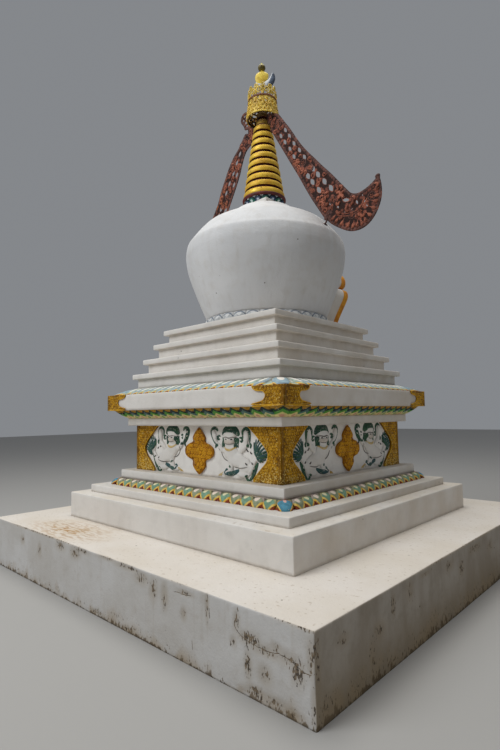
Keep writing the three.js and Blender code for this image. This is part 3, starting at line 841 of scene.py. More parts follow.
STEP_LOTUS = (
    lotus_paint("lotus_pale_green", "#acbeae", [(0.98, "#b0b2a8"), (1.16, "#929082")],
                "#eee8de", (0.46, 0.64), (0.27, 0.36), gap=(0.26, 0.24)),
    lotus_paint("lotus_pale_blue", "#a0b2ba", [(0.98, "#aeb0ac"), (1.16, "#929086")],
                "#e4e2d6", (0.46, 0.66), (0.22, 0.32), gap=(0.26, 0.24)),
)
SPIRE_LOTUS = (
    lotus_paint("lotus_teal", "#1c6c58", [(0.80, "#0e2630"), (1.16, "#ced6d6")], "#c4d6d4",
                (0.5, 0.34), (0.19, 0.24)),
    lotus_paint("lotus_dark_blue", "#2c4464", [(0.80, "#0c1e24"), (1.16, "#ced6d6")], "#becad8",
                (0.5, 0.34), (0.19, 0.24)),
)
CORNER_LOTUS = lotus_paint("lotus_corner", "#5498b0", [(1.00, "#c46c46"), (1.08, "#969c64")],
                           "#eebeb2", (0.5, 0.84), (0.10, 0.22), 2.2, gap=(0.42, 0.16))
STEP_CORNER = lotus_paint("lotus_step_corner", "#96b0ba", [(1.00, "#b0b2a8"), (1.10, "#929082")],
                          "#ece4d8", (0.5, 0.70), (0.20, 0.34), 2.2, gap=(0.26, 0.12))
print("lotus paints mixed")


# %% [markdown]
# ## Petals
# A petal is a small cushion. It is drawn as a grid: a straight line from foot to tip, pushed out along its
# middle and drawn in at its edges, with a back that closes it inside the moulding. The same few sizes make
# steep petals, sloping petals and the broad petal that wraps each corner.

# %% Petal shapes
def closed_sheet(name, rows, columns, cell, material):
    """A front and a back grid, joined round their edges into one closed piece. cell(i, j) gives a point of
    the front, the point behind it and their place on the UV map."""
    cells = [cell(i, j) for i in range(rows) for j in range(columns)]
    points = [front for front, _, _ in cells] + [back for _, back, _ in cells]
    shift = rows * columns
    faces = []
    for i in range(rows - 1):
        for j in range(columns - 1):
            a, d = i * columns + j, (i + 1) * columns + j
            faces += [(a, a + 1, d + 1, d), (shift + d, shift + d + 1, shift + a + 1, shift + a)]
    rim = [*range(columns), *range(2 * columns - 1, shift, columns)]
    rim += [*range(shift - 2, shift - columns - 1, -1), *range(shift - 2 * columns, 0, -columns)]
    faces += [(b, a, shift + a, shift + b) for a, b in zip(rim, rim[1:] + rim[:1])]
    piece = new_piece(name, points, faces, material)
    layer = piece.data.uv_layers.new(name="UVMap")
    for loop in piece.data.loops:
        layer.data[loop.index].uv = cells[loop.vertex_index % shift][2]
    return piece


PETAL_ROWS = 7
PETAL_INSET = 0.006  # how deep its edges lie under the line from foot to tip


def petal(place, bulge, material, columns=9):
    """place(u, v) gives a point of the moulding and the way out from it, u from -1 to 1 and v from 0 to 1."""
    def cell(i, j):
        u, v = 2 * j / (columns - 1) - 1, i / (PETAL_ROWS - 1)
        point, out = place(u, v)
        swell = (1 - abs(u) ** 2.6) ** 0.5 * math.sin(math.pi * (0.12 + 0.80 * v)) ** 0.5
        front = point + out * (bulge * swell - PETAL_INSET * (1 - swell))
        return front, point - out * (2 * PETAL_INSET), (0.5 + u / 2, v)

    return closed_sheet("petal", PETAL_ROWS, columns, cell, material)


def straight_petal(width, foot, tip, bulge, material, belly=0.0):
    """A petal on the -Y side, from a foot to a tip given as [distance out, height]. The belly rounds its
    profile."""
    slope = Vector((0, foot[0] - tip[0], tip[1] - foot[1]))
    out = Vector((0, -slope.z, slope.y)).normalized()

    def place(u, v):
        point = Vector((u * width / 2, -foot[0], foot[1])) + slope * v + out * belly * math.sin(math.pi * v)
        return point, out

    return petal(place, bulge, material)


def corner_petal(width, foot, tip, bulge, material, turn, belly=0.0):
    """A broad petal round the corner between two sides."""
    spin = Matrix.Rotation(turn * math.pi / 2, 3, "Z")
    grows, rises = tip[0] - foot[0], tip[1] - foot[1]

    def place(u, v):
        half, z = foot[0] + grows * v, foot[1] + rises * v
        t = (u + 1) / 2
        start, corner, end = (half - width, -half, z), (half, -half, z), (half, width - half, z)
        point = Vector(start) * (1 - t) ** 2 + Vector(corner) * (2 * t * (1 - t)) + Vector(end) * t * t
        out = (Vector((t, t - 1, 0)).normalized() * rises - Vector((0, 0, grows))).normalized()
        return spin @ (point + out * belly * math.sin(math.pi * v)), spin @ out

    return petal(place, bulge, material, columns=13)


def side_lines(half, start, stop):
    """Four straight edges, one along each side, running anticlockwise from start to stop."""
    points = [(a * x - b * half, c * x - d * half, 0) for a, b, c, d in QUARTER_TURNS for x in (start, stop)]
    return points, [(0, 1), (2, 3), (4, 5), (6, 7)]


print("petal shapes ready")


# %% [markdown]
# ## Three square lotus mouldings
# Each moulding is a plain sloping core with a row of petals along each side and one broader petal at each
# corner. The tree runs once for each colour, so that the colours alternate.

# %% Square lotus mouldings
SIDE_PETALS = 18  # along each side, of both colours together
CORNER_SHARE = 0.045  # width of half a corner petal, as a share of the moulding's half width
CORE_INSET = 0.02


def square_lotus(node, foot_half, tip_half, bulge, paints, corner_paint, belly=0.0):
    low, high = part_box(node)
    foot, tip = (foot_half, low.z), (tip_half, high.z)
    corner = max(foot_half, tip_half) * CORNER_SHARE
    reach = min(foot_half, tip_half) - corner
    width = 2 * reach / SIDE_PETALS
    ring = [square_ring(half - CORE_INSET, z, 4, 0.004) for half, z in (foot, tip)]
    points = [p for level in ring for p in level] + [(0, 0, low.z), (0, 0, high.z)]
    core = new_piece(node + "_core", points, ring_faces(2, len(ring[0])), paints[0], smooth=False)
    core.data.uv_layers.new(name="UVMap")
    parts = [core]
    for number, paint in enumerate(paints):
        one = straight_petal(width * 1.02, foot, tip, bulge, paint, belly)
        shift = -one.data.vertices[0].co.y
        one.data.transform(Matrix.Translation((0, shift, 0)))
        start = -reach + (number + 0.5) * width
        line = side_lines(shift, start, start + (SIDE_PETALS - 2) * width)
        parts.append(row_of(one, *line, SIDE_PETALS // 2, paint))
    for turn in range(4):
        size = corner + 0.012 + abs(foot_half - tip_half) * 0.2
        parts.append(corner_petal(size, foot, tip, bulge, corner_paint, turn, belly))
    return finish_piece(joined(node + "_petals", parts), node)


square_lotus("lower_lotus_band", 1.300, 1.222, 0.012, LOWER_LOTUS, CORNER_LOTUS, 0.014)
square_lotus("upper_lotus_band", 1.158, 1.276, 0.010, UPPER_LOTUS, UPPER_LOTUS[0])
square_lotus("step_lotus_band", 1.292, 1.092, 0.014, STEP_LOTUS, STEP_CORNER)
print("square lotus mouldings: 3")


# %% [markdown]
# The ring under the dome and the one under the spire are the same idea on a circle. The line is a closed
# ring of edges, and the tree turns each petal to face outwards by itself.

# %% Round lotus rings
def round_lotus(node, petals, foot_radius, tip_radius, bulge, paints):
    low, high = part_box(node)
    foot, tip = (foot_radius, low.z), (tip_radius, high.z)
    core_line = [(radius - ROUND_CORE_INSET, z) for radius, z in (foot, tip)]
    parts = [turned_piece(node + "_core", core_line, 64, paints[0])]
    parts[0].data.uv_layers.new(name="UVMap")
    width = math.pi * (foot_radius + tip_radius) / petals * 1.03
    for number, paint in enumerate(paints):
        one = straight_petal(width, foot, tip, bulge, paint)
        one.data.transform(Matrix.Translation((0, foot_radius, 0)))
        line = [(foot_radius * c, foot_radius * s, 0) for c, s in circle(96, 96 * number / petals)]
        edges = [(i, (i + 1) % 96) for i in range(96)]
        parts.append(row_of(one, line, edges, petals // len(paints), paint))
    return finish_piece(joined(node + "_petals", parts), node)


ROUND_CORE_INSET = 0.012
FOOT_LOTUS = (lotus_paint("lotus_washed_over", "#cacccc", [(0.86, "#76808c"), (1.0, "#ccccca")],
                          "#e0e0de"),)
round_lotus("dome_foot_ring", 30, 0.735, 0.706, 0.016, FOOT_LOTUS)
round_lotus("spire_lotus_ring", 16, 0.205, 0.238, 0.012, SPIRE_LOTUS)
print("round lotus rings: 2")


# %% [markdown]
# ## Gilding
# The reliefs are plaster painted in an ochre gold and cut all over with little scrolls. The ground of the
# relief, in the hollows between the scrolls, is painted dark and brown as painted shade, the raised scrolls
# keep the bright gold, and low down, where hands and rain reach, the pale ground shows through. Two paints do
# this: a dark one with painted shade on the ground of the relief and a bright one on the scrolls.

# %% Gold paints
def gold_paint(name, bright, deep, ground=None):
    """The ground is a pale colour that shows through more below WORN_BELOW, where it is given."""
    paint = Paint(name, 0.5, specular=0.2)
    coats = [((11, 5, 0.35, 0.7), deep), ((60, 6, 0.5, 0.72, 0.7), deep)]
    if ground:
        low_down = paint.mask(paint.axis("Z"), WORN_BELOW, WORN_BELOW - 0.25)
        worn = paint.mask(paint.plus(paint.noise(75, 7), paint.times(low_down, 0.10)), 0.60, 0.68)
        coats.append((worn, ground))
    rough = paint.math("MAXIMUM", (20, 4, 0.3, 0.8, 0.85), 0.5)
    return paint.finish(paint.layers(bright, *coats), paint.noise(70, 5), 0.0015, 0.5, rough)


WORN_BELOW = 1.22
# painted shade: the ground between the scrolls is painted dark brown
GOLD_GROUND_SHADED = gold_paint("gold_ground", "#a47408", "#704a06", "#e0c470")
GOLD_SCROLL = gold_paint("gold_scroll", "#e2b02a", "#be8a14", "#eed68c")
GOLD_BRIGHT = gold_paint("gold_bright", "#d4a01e", "#b88214")
NICHE_GOLD = gold_paint("gold_niche", "#e09c28", "#c2781a")
GOLD_FOIL = gold_paint("gold_quatrefoil_scroll", "#e8b02c", "#cc8e1c")
GOLD_ORANGE = gold_paint("gold_quatrefoil", "#b0760c", "#885408")
print("gold paints mixed")


# %% [markdown]
# ## Scroll work
# A scroll is a spiral wire. Geometry Nodes draw one from named sizes and set a copy on every spot of a
# field, turned by the spot's own attributes: `facing` is the way out of the wall, `turn` spins the scroll
# and `size` scales it. The spots come from a slightly shaken grid with a fixed seed, so no two neighbours
# match.

# %% Scroll tree
def scroll_tree():
    tree = Tree("scroll_field")
    spots = tree.input("Spots", "Geometry")
    turns = tree.input("Turns", "Float")
    wire_radius = tree.input("Wire Radius", "Float")
    steps = tree.input("Steps", "Int")
    material = tree.input("Material", "Material")
    spiral = tree.add("GeometryNodeCurveSpiral", {"Resolution": steps, "Rotations": turns,
                                                  "Start Radius": 0.16,
                                                  "End Radius": 1.0, "Height": 0.0})
    section = tree.add("GeometryNodeCurvePrimitiveCircle", {"Resolution": 5, "Radius": wire_radius})
    scroll = tree.add("GeometryNodeCurveToMesh", {"Curve": spiral, "Profile Curve": section,
                                                  "Fill Caps": True})
    facing = tree.add("GeometryNodeInputNamedAttribute", {"Name": "facing"}, data_type="FLOAT_VECTOR")
    turn = tree.add("GeometryNodeInputNamedAttribute", {"Name": "turn"}, data_type="FLOAT")
    size = tree.add("GeometryNodeInputNamedAttribute", {"Name": "size"}, data_type="FLOAT")
    outwards = tree.add("FunctionNodeAlignRotationToVector", {"Vector": facing}, axis="Z")
    spin = tree.add("FunctionNodeAxisAngleToRotation", {"Angle": turn})
    rotation = tree.add("FunctionNodeRotateRotation", {"Rotation": outwards, "Rotate By": spin},
                        rotation_space="LOCAL")
    field = tree.add("GeometryNodeInstanceOnPoints", {"Points": spots, "Instance": scroll,
                                                      "Rotation": rotation,
                                                      "Scale": size})
    tree.close(field, material)
    return tree


SCROLLS = scroll_tree()
CHANCE = np.random.default_rng(7)


def scroll_field(spots, material, turns, wire_radius, steps=9):
    """spots is a list of (place, facing, turn, size)."""
    base = wire("spots", [place for place, _, _, _ in spots], [])
    facing = base.data.attributes.new("facing", "FLOAT_VECTOR", "POINT")
    facing.data.foreach_set("vector", [v for _, way, _, _ in spots for v in way])
    put_attribute(base, "turn", [turn for _, _, turn, _ in spots])
    put_attribute(base, "size", [size for _, _, _, size in spots])
    return grown("scrolls", base, SCROLLS, turns=turns, wire_radius=wire_radius, steps=steps,
                 material=material)


def shaken_grid(low, high, pitch, inside):
    """Places of a staggered grid, each moved a little, that lie inside an outline."""
    places = []
    rows = int((high[1] - low[1]) / (pitch * 0.87)) + 1
    for row in range(rows):
        z = low[1] + row * pitch * 0.87
        count = int((high[0] - low[0]) / pitch) + 1
        for column in range(count):
            x = low[0] + (column + 0.5 * (row % 2)) * pitch
            dx, dz = CHANCE.uniform(-0.12, 0.12, 2) * pitch
            if inside(x + dx, z + dz):
                places.append((x + dx, z + dz))
    return places


print("scroll tree:", len(SCROLLS.group.nodes), "nodes")


# %% [markdown]
# ## Relief plates
# A relief plate is a sheet whose left and right edges depend on the height. Those edges come from the
# frame's own outline, drawn smoothly, and the front rolls off towards them. Each plate is made once for the
# front side and its copies are turned about the axis for the other three sides.

# %% Relief plates
def outline_by_height(node, least=-9.0):
    """The outline of a node's front face as a smooth list of [height, x], for the points beyond the least
    x."""
    low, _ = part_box(node)
    found = {}
    for vertex in NODES[node].data.vertices:
        x, y, z = vertex.co
        if abs(y - low.y) < 0.0005 and x > least:
            key = round(z, 4)
            found[key] = min(found.get(key, 9.0), x)
    return smooth_line([Vector((z, x)) for z, x in sorted(found.items())], 4)


def at_height(line, z):
    return float(np.interp(z, [p[0] for p in line], [p[1] for p in line]))


def relief_plate(rows, columns, edges, face, wall, swell, material, roll, both=True):
    """edges(z) gives the left and right x. swell(x, z) raises the front by a little at each place. The
    front rolls off towards both edges, or towards the left one only."""
    def cell(i, j):
        z = rows[i]
        left, right = edges(z)
        x = left + (right - left) * j / (columns - 1)
        near = min(x - left, right - x if both else 9.0)
        drop = roll * (1 - min(1.0, near / roll)) ** 2 * 0.8
        return (x, -face + drop - swell(x, z), z), (x, -wall, z), (j / (columns - 1), z)

    return closed_sheet("plate", len(rows), columns, cell, material)


def spun(piece, turn, name, mirror=False):
    """A copy of a front-side piece, turned about the axis by quarter turns, and mirrored first if asked."""
    copy = placed(name, piece.data.copy())
    if mirror:
        copy.data.transform(Matrix.Scale(-1, 4, (1, 0, 0)))
        copy.data.flip_normals()
    copy.data.transform(Matrix.Rotation(turn * math.pi / 2, 4, "Z"))
    return copy


def four_sides(piece, names):
    """Sets a front-side piece on all four sides, one for each node name."""
    for turn, node in enumerate(names):
        finish_piece(spun(piece, turn, node + "_relief"), node)
    bpy.data.objects.remove(piece)


print("relief kit ready")


# %% [markdown]
# ## Gilded corners
# The wraps at the corners of the throne and the cornice are two such plates meeting at the arris. A plain
# strip runs down the arris, and everything else is filled with scrolls.

# %% Gilded corners
def tube(path, radius, sides, material, cyclic=False):
    """A round rod along a path. The radius may be one number or one for each point."""
    path = [Vector(p) for p in path]
    count = len(path)
    radii = radius if isinstance(radius, (list, tuple)) else [radius] * count
    points = []
    side = None
    for i, p in enumerate(path):
        after = path[(i + 1) % count] if cyclic or i + 1 < count else p
        before = path[i - 1] if cyclic or i else p
        along = (after - before).normalized()
        side = (side - along * side.dot(along)).normalized() if side else along.orthogonal().normalized()
        other = along.cross(side)
        points += [p + (side * c + other * s) * radii[i] for c, s in circle(sides)]
    if not cyclic:
        points += [path[0], path[-1]]
    return new_piece("tube", points, ring_faces(count, sides, ends=not cyclic), material)


def either_way():
    """Out of the wall or into it, so that about half of the spirals run the other way."""
    return (0, -1, 0) if CHANCE.random() < 0.5 else (0, 1, 0)


FULL_TURN = 6.3
STRIP = 0.036
CORNER_SCROLL = 0.0125
MIRROR_AT_CORNER = Matrix(((0, -1, 0, 0), (-1, 0, 0, 0), (0, 0, 1, 0), (0, 0, 0, 1)))


def corner_wrap(node, cell):
    low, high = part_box(node)
    line = outline_by_height(node)
    face = -low.y
    strip_from = high.x - STRIP
    rows = np.arange(low.z, high.z, cell).tolist() + [high.z]

    def swell(x, z):
        return 0.002 * sway((x, 0, z), 16) if x < strip_from else 0.0035 * min(1, (high.x - x) / 0.004)

    # the plate takes the dark ground gold, painted shade of the hollows between the scrolls
    plate = relief_plate(rows, 40, lambda z: (at_height(line, z), high.x), face - 0.004, face - 0.03, swell,
                         GOLD_GROUND_SHADED, 0.008, both=False)
    strip = relief_plate([low.z, high.z], 12, lambda z: (strip_from, high.x - 0.0005), face - 0.0005,
                         face - 0.01,
                         lambda x, z: 0, GOLD_BRIGHT, 0.002, both=False)
    margin = CORNER_SCROLL * 0.8

    def inside(x, z):
        return at_height(line, z) + margin < x < strip_from - margin and low.z + margin < z < high.z - margin

    spots = []
    for x, z in shaken_grid((min(p[1] for p in line), low.z + margin), (high.x, high.z), 0.030, inside):
        way, size = either_way(), CORNER_SCROLL * CHANCE.uniform(0.85, 1.2)
        spots.append(((x, -face + 0.0045, z), way, CHANCE.uniform(0, FULL_TURN), size))
    scrolls = scroll_field(spots, GOLD_SCROLL, 1.5, 0.24, 8)
    border = tube([(x + 0.006, -face + 0.004, z) for z, x in line], 0.005, 6, GOLD_SCROLL)
    wing = joined("wing", [plate, strip, scrolls, border])
    other = spun(wing, 0, "other wing")
    other.data.transform(MIRROR_AT_CORNER)
    other.data.flip_normals()
    return joined("wrap", [wing, other])


for course_name, cell in (("throne", 0.02), ("cornice", 0.012)):
    names = [f"{course_name}_corner_{corner}" for corner in CORNERS]
    four_sides(corner_wrap(names[0], cell), names)
print("gilded corners: 8")


# %% [markdown]
# ## Quatrefoils
# The four-lobed boss in the middle of each side swells out in every lobe. The swelling is a formula: it is
# highest at the middle of the nearest lobe and falls off evenly round it. A round bead runs along the edge,
# a button marks the heart, and little scrolls lie on the swelling as they do on the corners.

# %% Quatrefoils
LOBES = ((0.0, 1.252), (0.135, 1.245), (-0.135, 1.245), (0.0, 1.385), (0.0, 1.112))
FOIL_EDGE = (  # share of the height, share of the half width
    (0.0, 0.0), (0.039, 0.14), (0.116, 0.32), (0.192, 0.43), (0.262, 0.41), (0.310, 0.48), (0.350, 0.74),
    (0.410, 0.95), (0.493, 1.0), (0.570, 0.94), (0.630, 0.74), (0.672, 0.47), (0.720, 0.39), (0.780, 0.42),
    (0.850, 0.33), (0.924, 0.18), (1.0, 0.0),
)


def carved(x, z):
    """How far the front stands out at a place, highest at the middle of each lobe."""
    distance = min(math.hypot(x - cx, z - cz) for cx, cz in LOBES)
    return 0.012 * max(0.0, 1 - (distance / 0.09) ** 2) - 0.003


def button(place, radius, rise):
    """A shallow button that stands out towards -Y."""
    rings = [(radius * math.cos(a), rise * math.sin(a)) for a in np.linspace(0, 1.35, 5)]
    x, y, z = place
    points = [(x + r * c, y - h, z + r * s) for r, h in rings for c, s in circle(16)]
    return new_piece("heart", points + [(x, y + 0.002, z), (x, y - rise, z)], ring_faces(5, 16), GOLD_BRIGHT)


def quatrefoil():
    low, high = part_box("quatrefoil_front")
    edge = [Vector((low.z + (high.z - low.z) * share, high.x * 0.97 * half)) for share, half in FOIL_EDGE]
    line = smooth_line(edge, 4)
    rows = np.linspace(low.z, high.z, 90)
    face = -low.y - 0.013

    def edges(z):
        half = max(0.0015, at_height(line, z))
        return -half, half

    def inside(x, z):
        return abs(x) < at_height(line, z) - 0.016

    plate = relief_plate(rows, 61, edges, face, face - 0.02, carved, GOLD_ORANGE, 0.012)
    rim = [(x, -face, z) for z, x in line] + [(-x, -face, z) for z, x in reversed(line)][1:-1]
    border = tube(rim, 0.006, 6, GOLD_ORANGE, cyclic=True)
    heart = button((0, -face - 0.008, 1.252), 0.022, 0.012)
    spots = []
    for x, z in shaken_grid((-high.x, low.z), (high.x, high.z), 0.040, inside):
        spots.append(((x, -face - carved(x, z) - 0.001, z), (0, -1, 0), CHANCE.uniform(0, FULL_TURN), 0.019))
    return joined("quatrefoil", [plate, border, heart, scroll_field(spots, GOLD_FOIL, 1.3, 0.24, 10)])


four_sides(quatrefoil(), [f"quatrefoil_{s}" for s in SIDES])
print("quatrefoils: 4")


# %% [markdown]
# ## Thirteen rings
# The spire is thirteen gilded rings on a dark red core. Turning one profile would be quick, but real rings
# are set one by one, so each here is a closed ring of its own with rounded edges, a slightly uneven rim and
# a hair's breadth of tilt. The core shows as the dark line between them.

# %% Ring paint
def ring_paint():
    paint = Paint("ring_gold", 0.42, 0.35)
    colour = paint.layers(
        "#ecc43e",
        ((5.0, 4, 0.35, 0.7), "#d4a42c"),
        ((16, 5, 0.5, 0.75, 0.6, (1, 1, 5)), "#ecd078"),
        # painted shade: the top rings, in the shade under the parasol, are painted dark brown
        (paint.mask(paint.axis("Z"), 5.02, 5.22), "#6c5222"),
        ((42, 7, 0.62, 0.72), "#704a1a"),
    )
    return paint.finish(colour, paint.noise(60), 0.001, 0.35, paint.patches(9, 4, -0.6, 1.4))


def dark_red_paint(name, light, deep):
    paint = Paint(name, 0.6)
    colour = paint.layers(light, ((22, 5, 0.35, 0.7), deep), ((60, 5, 0.64, 0.72), "#8c5c3c"))
    return paint.finish(colour, paint.noise(70))


RING_GOLD = ring_paint()
DARK_RED = dark_red_paint("dark_red", "#681812", "#40100e")
CORE_BROWN = dark_red_paint("brown_between_rings", "#56160e", "#36100c")

# %% Rings
RING_COUNT = 13
RING_GAP = 0.034
RING_TAPER = 0.0145
NECK_FROM = 10  # the rings above this one are smaller, inside the parasol
RING_SEGMENTS = 56


def one_ring(number, inner, radius, foot, height):
    """A closed ring: a rounded profile that comes back on itself inside, carried round the axis."""
    outer = [(inner, foot), (radius - 0.004, foot), (radius, foot + 0.005), (radius, foot + height * 0.5),
             (radius - 0.002, foot + height - 0.009), (radius - 0.009, foot + height), (inner, foot + height)]
    tilt = Vector((CHANCE.uniform(-1, 1), CHANCE.uniform(-1, 1))) * 0.006
    points = []
    for r, z in outer:
        for c, s in circle(RING_SEGMENTS):
            dented = r - (0.0022 * (1 + sway((c, s, number), 2.2)) if r > inner else 0)
            x, y = dented * c, dented * s
            points.append((x, y, z + x * tilt.x + y * tilt.y))
    ring = new_piece("ring", points, ring_faces(len(outer), RING_SEGMENTS, ends=False), RING_GOLD)
    ring.data.materials.append(CORE_BROWN)
    for face in ring.data.polygons[:RING_SEGMENTS]:
        face.material_index = 1
    return ring


def spire():
    low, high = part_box("spire_rings")
    pitch = (high.z - low.z + 0.010) / RING_COUNT
    rings, core = [], []
    for number in range(RING_COUNT):
        radius = high.x - RING_TAPER * number
        if number >= NECK_FROM:
            radius = 0.080 - 0.005 * (number - NECK_FROM)
        foot = low.z + number * pitch
        rings.append(one_ring(number, radius * 0.6, radius, foot, pitch - RING_GAP))
        core += [(radius - 0.032, foot), (radius - 0.034, foot + pitch * 0.9)]
    core_piece = turned_piece("core", [Vector(p) for p in core], 40, CORE_BROWN)
    return finish_piece(joined("spire_rings_gilt", [*rings, core_piece]), "spire_rings")


def collar():
    low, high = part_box("spire_collar")
    radius = high.x
    profile = [(radius - 0.012, low.z), (radius, low.z + 0.008), (radius, high.z - 0.008),
               (radius - 0.012, high.z)]
    turned = turned_piece("spire_collar_turned", rounded(profile, 0.005), 72, DARK_RED)
    return finish_piece(turned, "spire_collar")


spire()
collar()
print("rings:", RING_COUNT)


# %% [markdown]
# ## Parasol
# Above the rings hangs a gilded drum of pierced metal with a flared skirt, dark inside, and on it stands an
# open crown of curled stems. The wall is built cell by cell round the axis, and the cells left out are its
# windows, so the light comes through them. Its pattern is the scroll tree again, run round a cylinder with
# each scroll facing out. The crown is all scrolls and leaves between two hoops.

# %% Parasol paints
def pierced_gold_paint(name, bright, dull, dark, holes=0.0):
    """holes is the size of the dark spots painted as small piercings, painted shade for the dark inside seen
    through them, as a share of their spacing.
    """
    paint = Paint(name, 0.48)
    coats = [((14, 5, 0.35, 0.7), dull), ((48, 6, 0.58, 0.7), dark)]
    if holes:
        # painted shade: dark spots stand for the dark inside seen through small piercings
        coats.append((paint.mask(paint.cells(34), holes, holes * 0.75), "#3a2414"))
    return paint.finish(paint.layers(bright, *coats), paint.noise(70))


PARASOL_GOLD = pierced_gold_paint("parasol_gold", "#f4d258", "#d8b03e", "#966e28")
PARASOL_SKIN = pierced_gold_paint("parasol_skin", "#fadc68", "#e2be4c", "#966c28", 0.28)
SKIRT_INSIDE = pierced_gold_paint("skirt_inside", "#422814", "#2e1c10", "#1c120c")
PARASOL_DARK = pierced_gold_paint("parasol_shadow", "#88480c", "#643208", "#381c06")
CROWN_GOLD = pierced_gold_paint("crown_gold", "#ecce58", "#c4a63e", "#886c2a")
print("parasol paints mixed")


# %% A wall with windows
SKIRT_FOOT = 5.200
SKIRT_FOOT_RADIUS = 0.197
SKIRT_TOP_RADIUS = 0.174
SKIRT_ROWS = 14
SKIRT_STEPS = 96
SKIRT_WINDOWS = (  # the first row, how many rows, windows round the skirt, shift and width in steps
    (2, 2, 24, 0, 2), (5, 2, 24, 2, 2), (8, 2, 16, 0, 5), (11, 2, 16, 3, 4),
)


def skirt_profile(top):
    """The flaring wall from its foot up, in rows of equal height."""
    flare = SKIRT_FOOT_RADIUS - SKIRT_TOP_RADIUS
    shares = [row / SKIRT_ROWS for row in range(SKIRT_ROWS + 1)]
    return [(SKIRT_TOP_RADIUS + flare * (1 - t) ** 1.5, SKIRT_FOOT + (top - SKIRT_FOOT) * t) for t in shares]


def is_window(row, step):
    return any(first <= row < first + rows and (step + shift) % (SKIRT_STEPS // count) < wide
               for first, rows, count, shift, wide in SKIRT_WINDOWS)


def pierced_drum(profile, thick, outer, inner):
    """A thin round wall with windows, its outer line given from the foot up. The inside has its own paint."""
    rows, steps = len(profile) - 1, SKIRT_STEPS
    points = [((radius - depth) * c, (radius - depth) * s, z)
              for depth in (0, thick) for radius, z in profile for c, s in circle(steps)]
    inside = (rows + 1) * steps
    solid = {(row, i) for row in range(rows) for i in range(steps) if not is_window(row, i)}
    faces, hidden = [], []
    for row, i in sorted(solid):
        turn = (i + 1) % steps
        corners = [row * steps + i, row * steps + turn, (row + 1) * steps + turn, (row + 1) * steps + i]
        faces.append(corners)
        hidden.append(len(faces))
        faces.append([inside + corner for corner in corners[::-1]])
        beside = ((row - 1, i), (row, turn), (row + 1, i), (row, (i - 1) % steps))
        for edge, other in enumerate(beside):
            if other not in solid:
                a, b = corners[edge], corners[(edge + 1) % 4]
                faces.append((b, a, inside + a, inside + b))
    used = sorted({corner for face in faces for corner in face})
    number = {corner: i for i, corner in enumerate(used)}
    faces = [[number[corner] for corner in face] for face in faces]
    piece = new_piece("skin", [points[corner] for corner in used], faces, outer, smooth=False)
    piece.data.materials.append(inner)
    for face in hidden:
        piece.data.polygons[face].material_index = 1
    return piece


# %% Scrolls round a drum
def round_spots(radius, z, count, size, phase=0.0, swing=0.004):
    """Places round a drum, each facing out, the spirals running left and right by turns."""
    spots = []
    for i, (c, s) in enumerate(circle(count, phase)):
        facing = (c, s, 0) if i % 2 else (-c, -s, 0)
        turn = 2 * math.pi * (i + phase) / count + math.pi * (i % 2)
        spots.append(((radius * c, radius * s, z + swing * (-1) ** i), facing, turn, size))
    return spots


def hoop(radius, z, thick, material):
    return tube([(radius * c, radius * s, z) for c, s in circle(48)], thick, 6, material, cyclic=True)


def leaf(path, half_width, thick, side, material):
    """A flat leaf along a path: a lens in section, widest a third of the way up and pointed at its tip."""
    path, side = [Vector(p) for p in path], Vector(side).normalized()
    points = []
    for i, p in enumerate(path):
        t = i / (len(path) - 1)
        wide = max(0.08, math.sin(math.pi * min(0.97, t ** 0.7))) * half_width
        along = (path[min(i + 1, len(path) - 1)] - path[max(i - 1, 0)]).normalized()
        across = along.cross(side).normalized() * wide
        deep = side * thick * max(0.25, 1 - t)
        points += [p - across, p - deep, p + across, p + deep]
    points += [path[0], path[-1]]
    return new_piece("leaf", points, ring_faces(len(path), 4), material)


SKIRT_SCROLLS = (  # radius, height over the foot, count, size, phase
    (0.196, 0.040, 24, 0.021, 0.25), (0.190, 0.090, 24, 0.020, 0.75),
    (0.183, 0.128, 16, 0.020, 0.1), (0.179, 0.176, 16, 0.020, 0.75),
)
LID_SCROLLS = ((0.082, 10), (0.110, 14), (0.137, 18))  # radius, count
GOLD_HOOPS = ((0.184, 0.113, 0.005), (0.196, 0.006, 0.006))  # radius, height over the foot, thickness
DROPS = 20
SPOKES = 12


def parasol_skirt():
    foot, lid = SKIRT_FOOT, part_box("parasol_skirt")[1].z
    parts = [pierced_drum(skirt_profile(lid), 0.007, PARASOL_SKIN, SKIRT_INSIDE)]
    spots = []
    for radius, height, count, size, phase in SKIRT_SCROLLS:
        spots += round_spots(radius, foot + height, count, size, phase)
    for radius, count in LID_SCROLLS:
        for place, _, turn, size in round_spots(radius, lid - 0.006, count, 0.019, swing=0.0):
            spots.append((place, (0, 0, -1), turn, size))
    parts.append(scroll_field(spots, PARASOL_GOLD, 1.4, 0.26))
    parts.append(hoop(0.177, lid - 0.004, 0.006, PARASOL_DARK))
    for radius, height, thick in GOLD_HOOPS:
        parts.append(hoop(radius, foot + height, thick, PARASOL_GOLD))
    parts.append(hoop(0.161, lid - 0.006, 0.007, PARASOL_GOLD))
    hub = [(0.062, lid - 0.010), (0.066, lid - 0.005), (0.062, lid)]
    parts.append(turned_piece("hub", hub, 32, PARASOL_GOLD))
    for c, s in circle(SPOKES):
        spoke = [(r * c, r * s, lid - 0.005) for r in (0.058, 0.09, 0.12, 0.158)]
        parts.append(tube(spoke, 0.0042, 6, PARASOL_GOLD))
    for c, s in circle(DROPS):
        path = [(0.198 * c, 0.198 * s, foot + z) for z in (0.026, 0.012, 0.002, -0.008)]
        parts.append(leaf(path, 0.026, 0.004, (c, s, 0), PARASOL_GOLD))
    return finish_piece(joined("parasol_skirt_pierced", parts), "parasol_skirt")


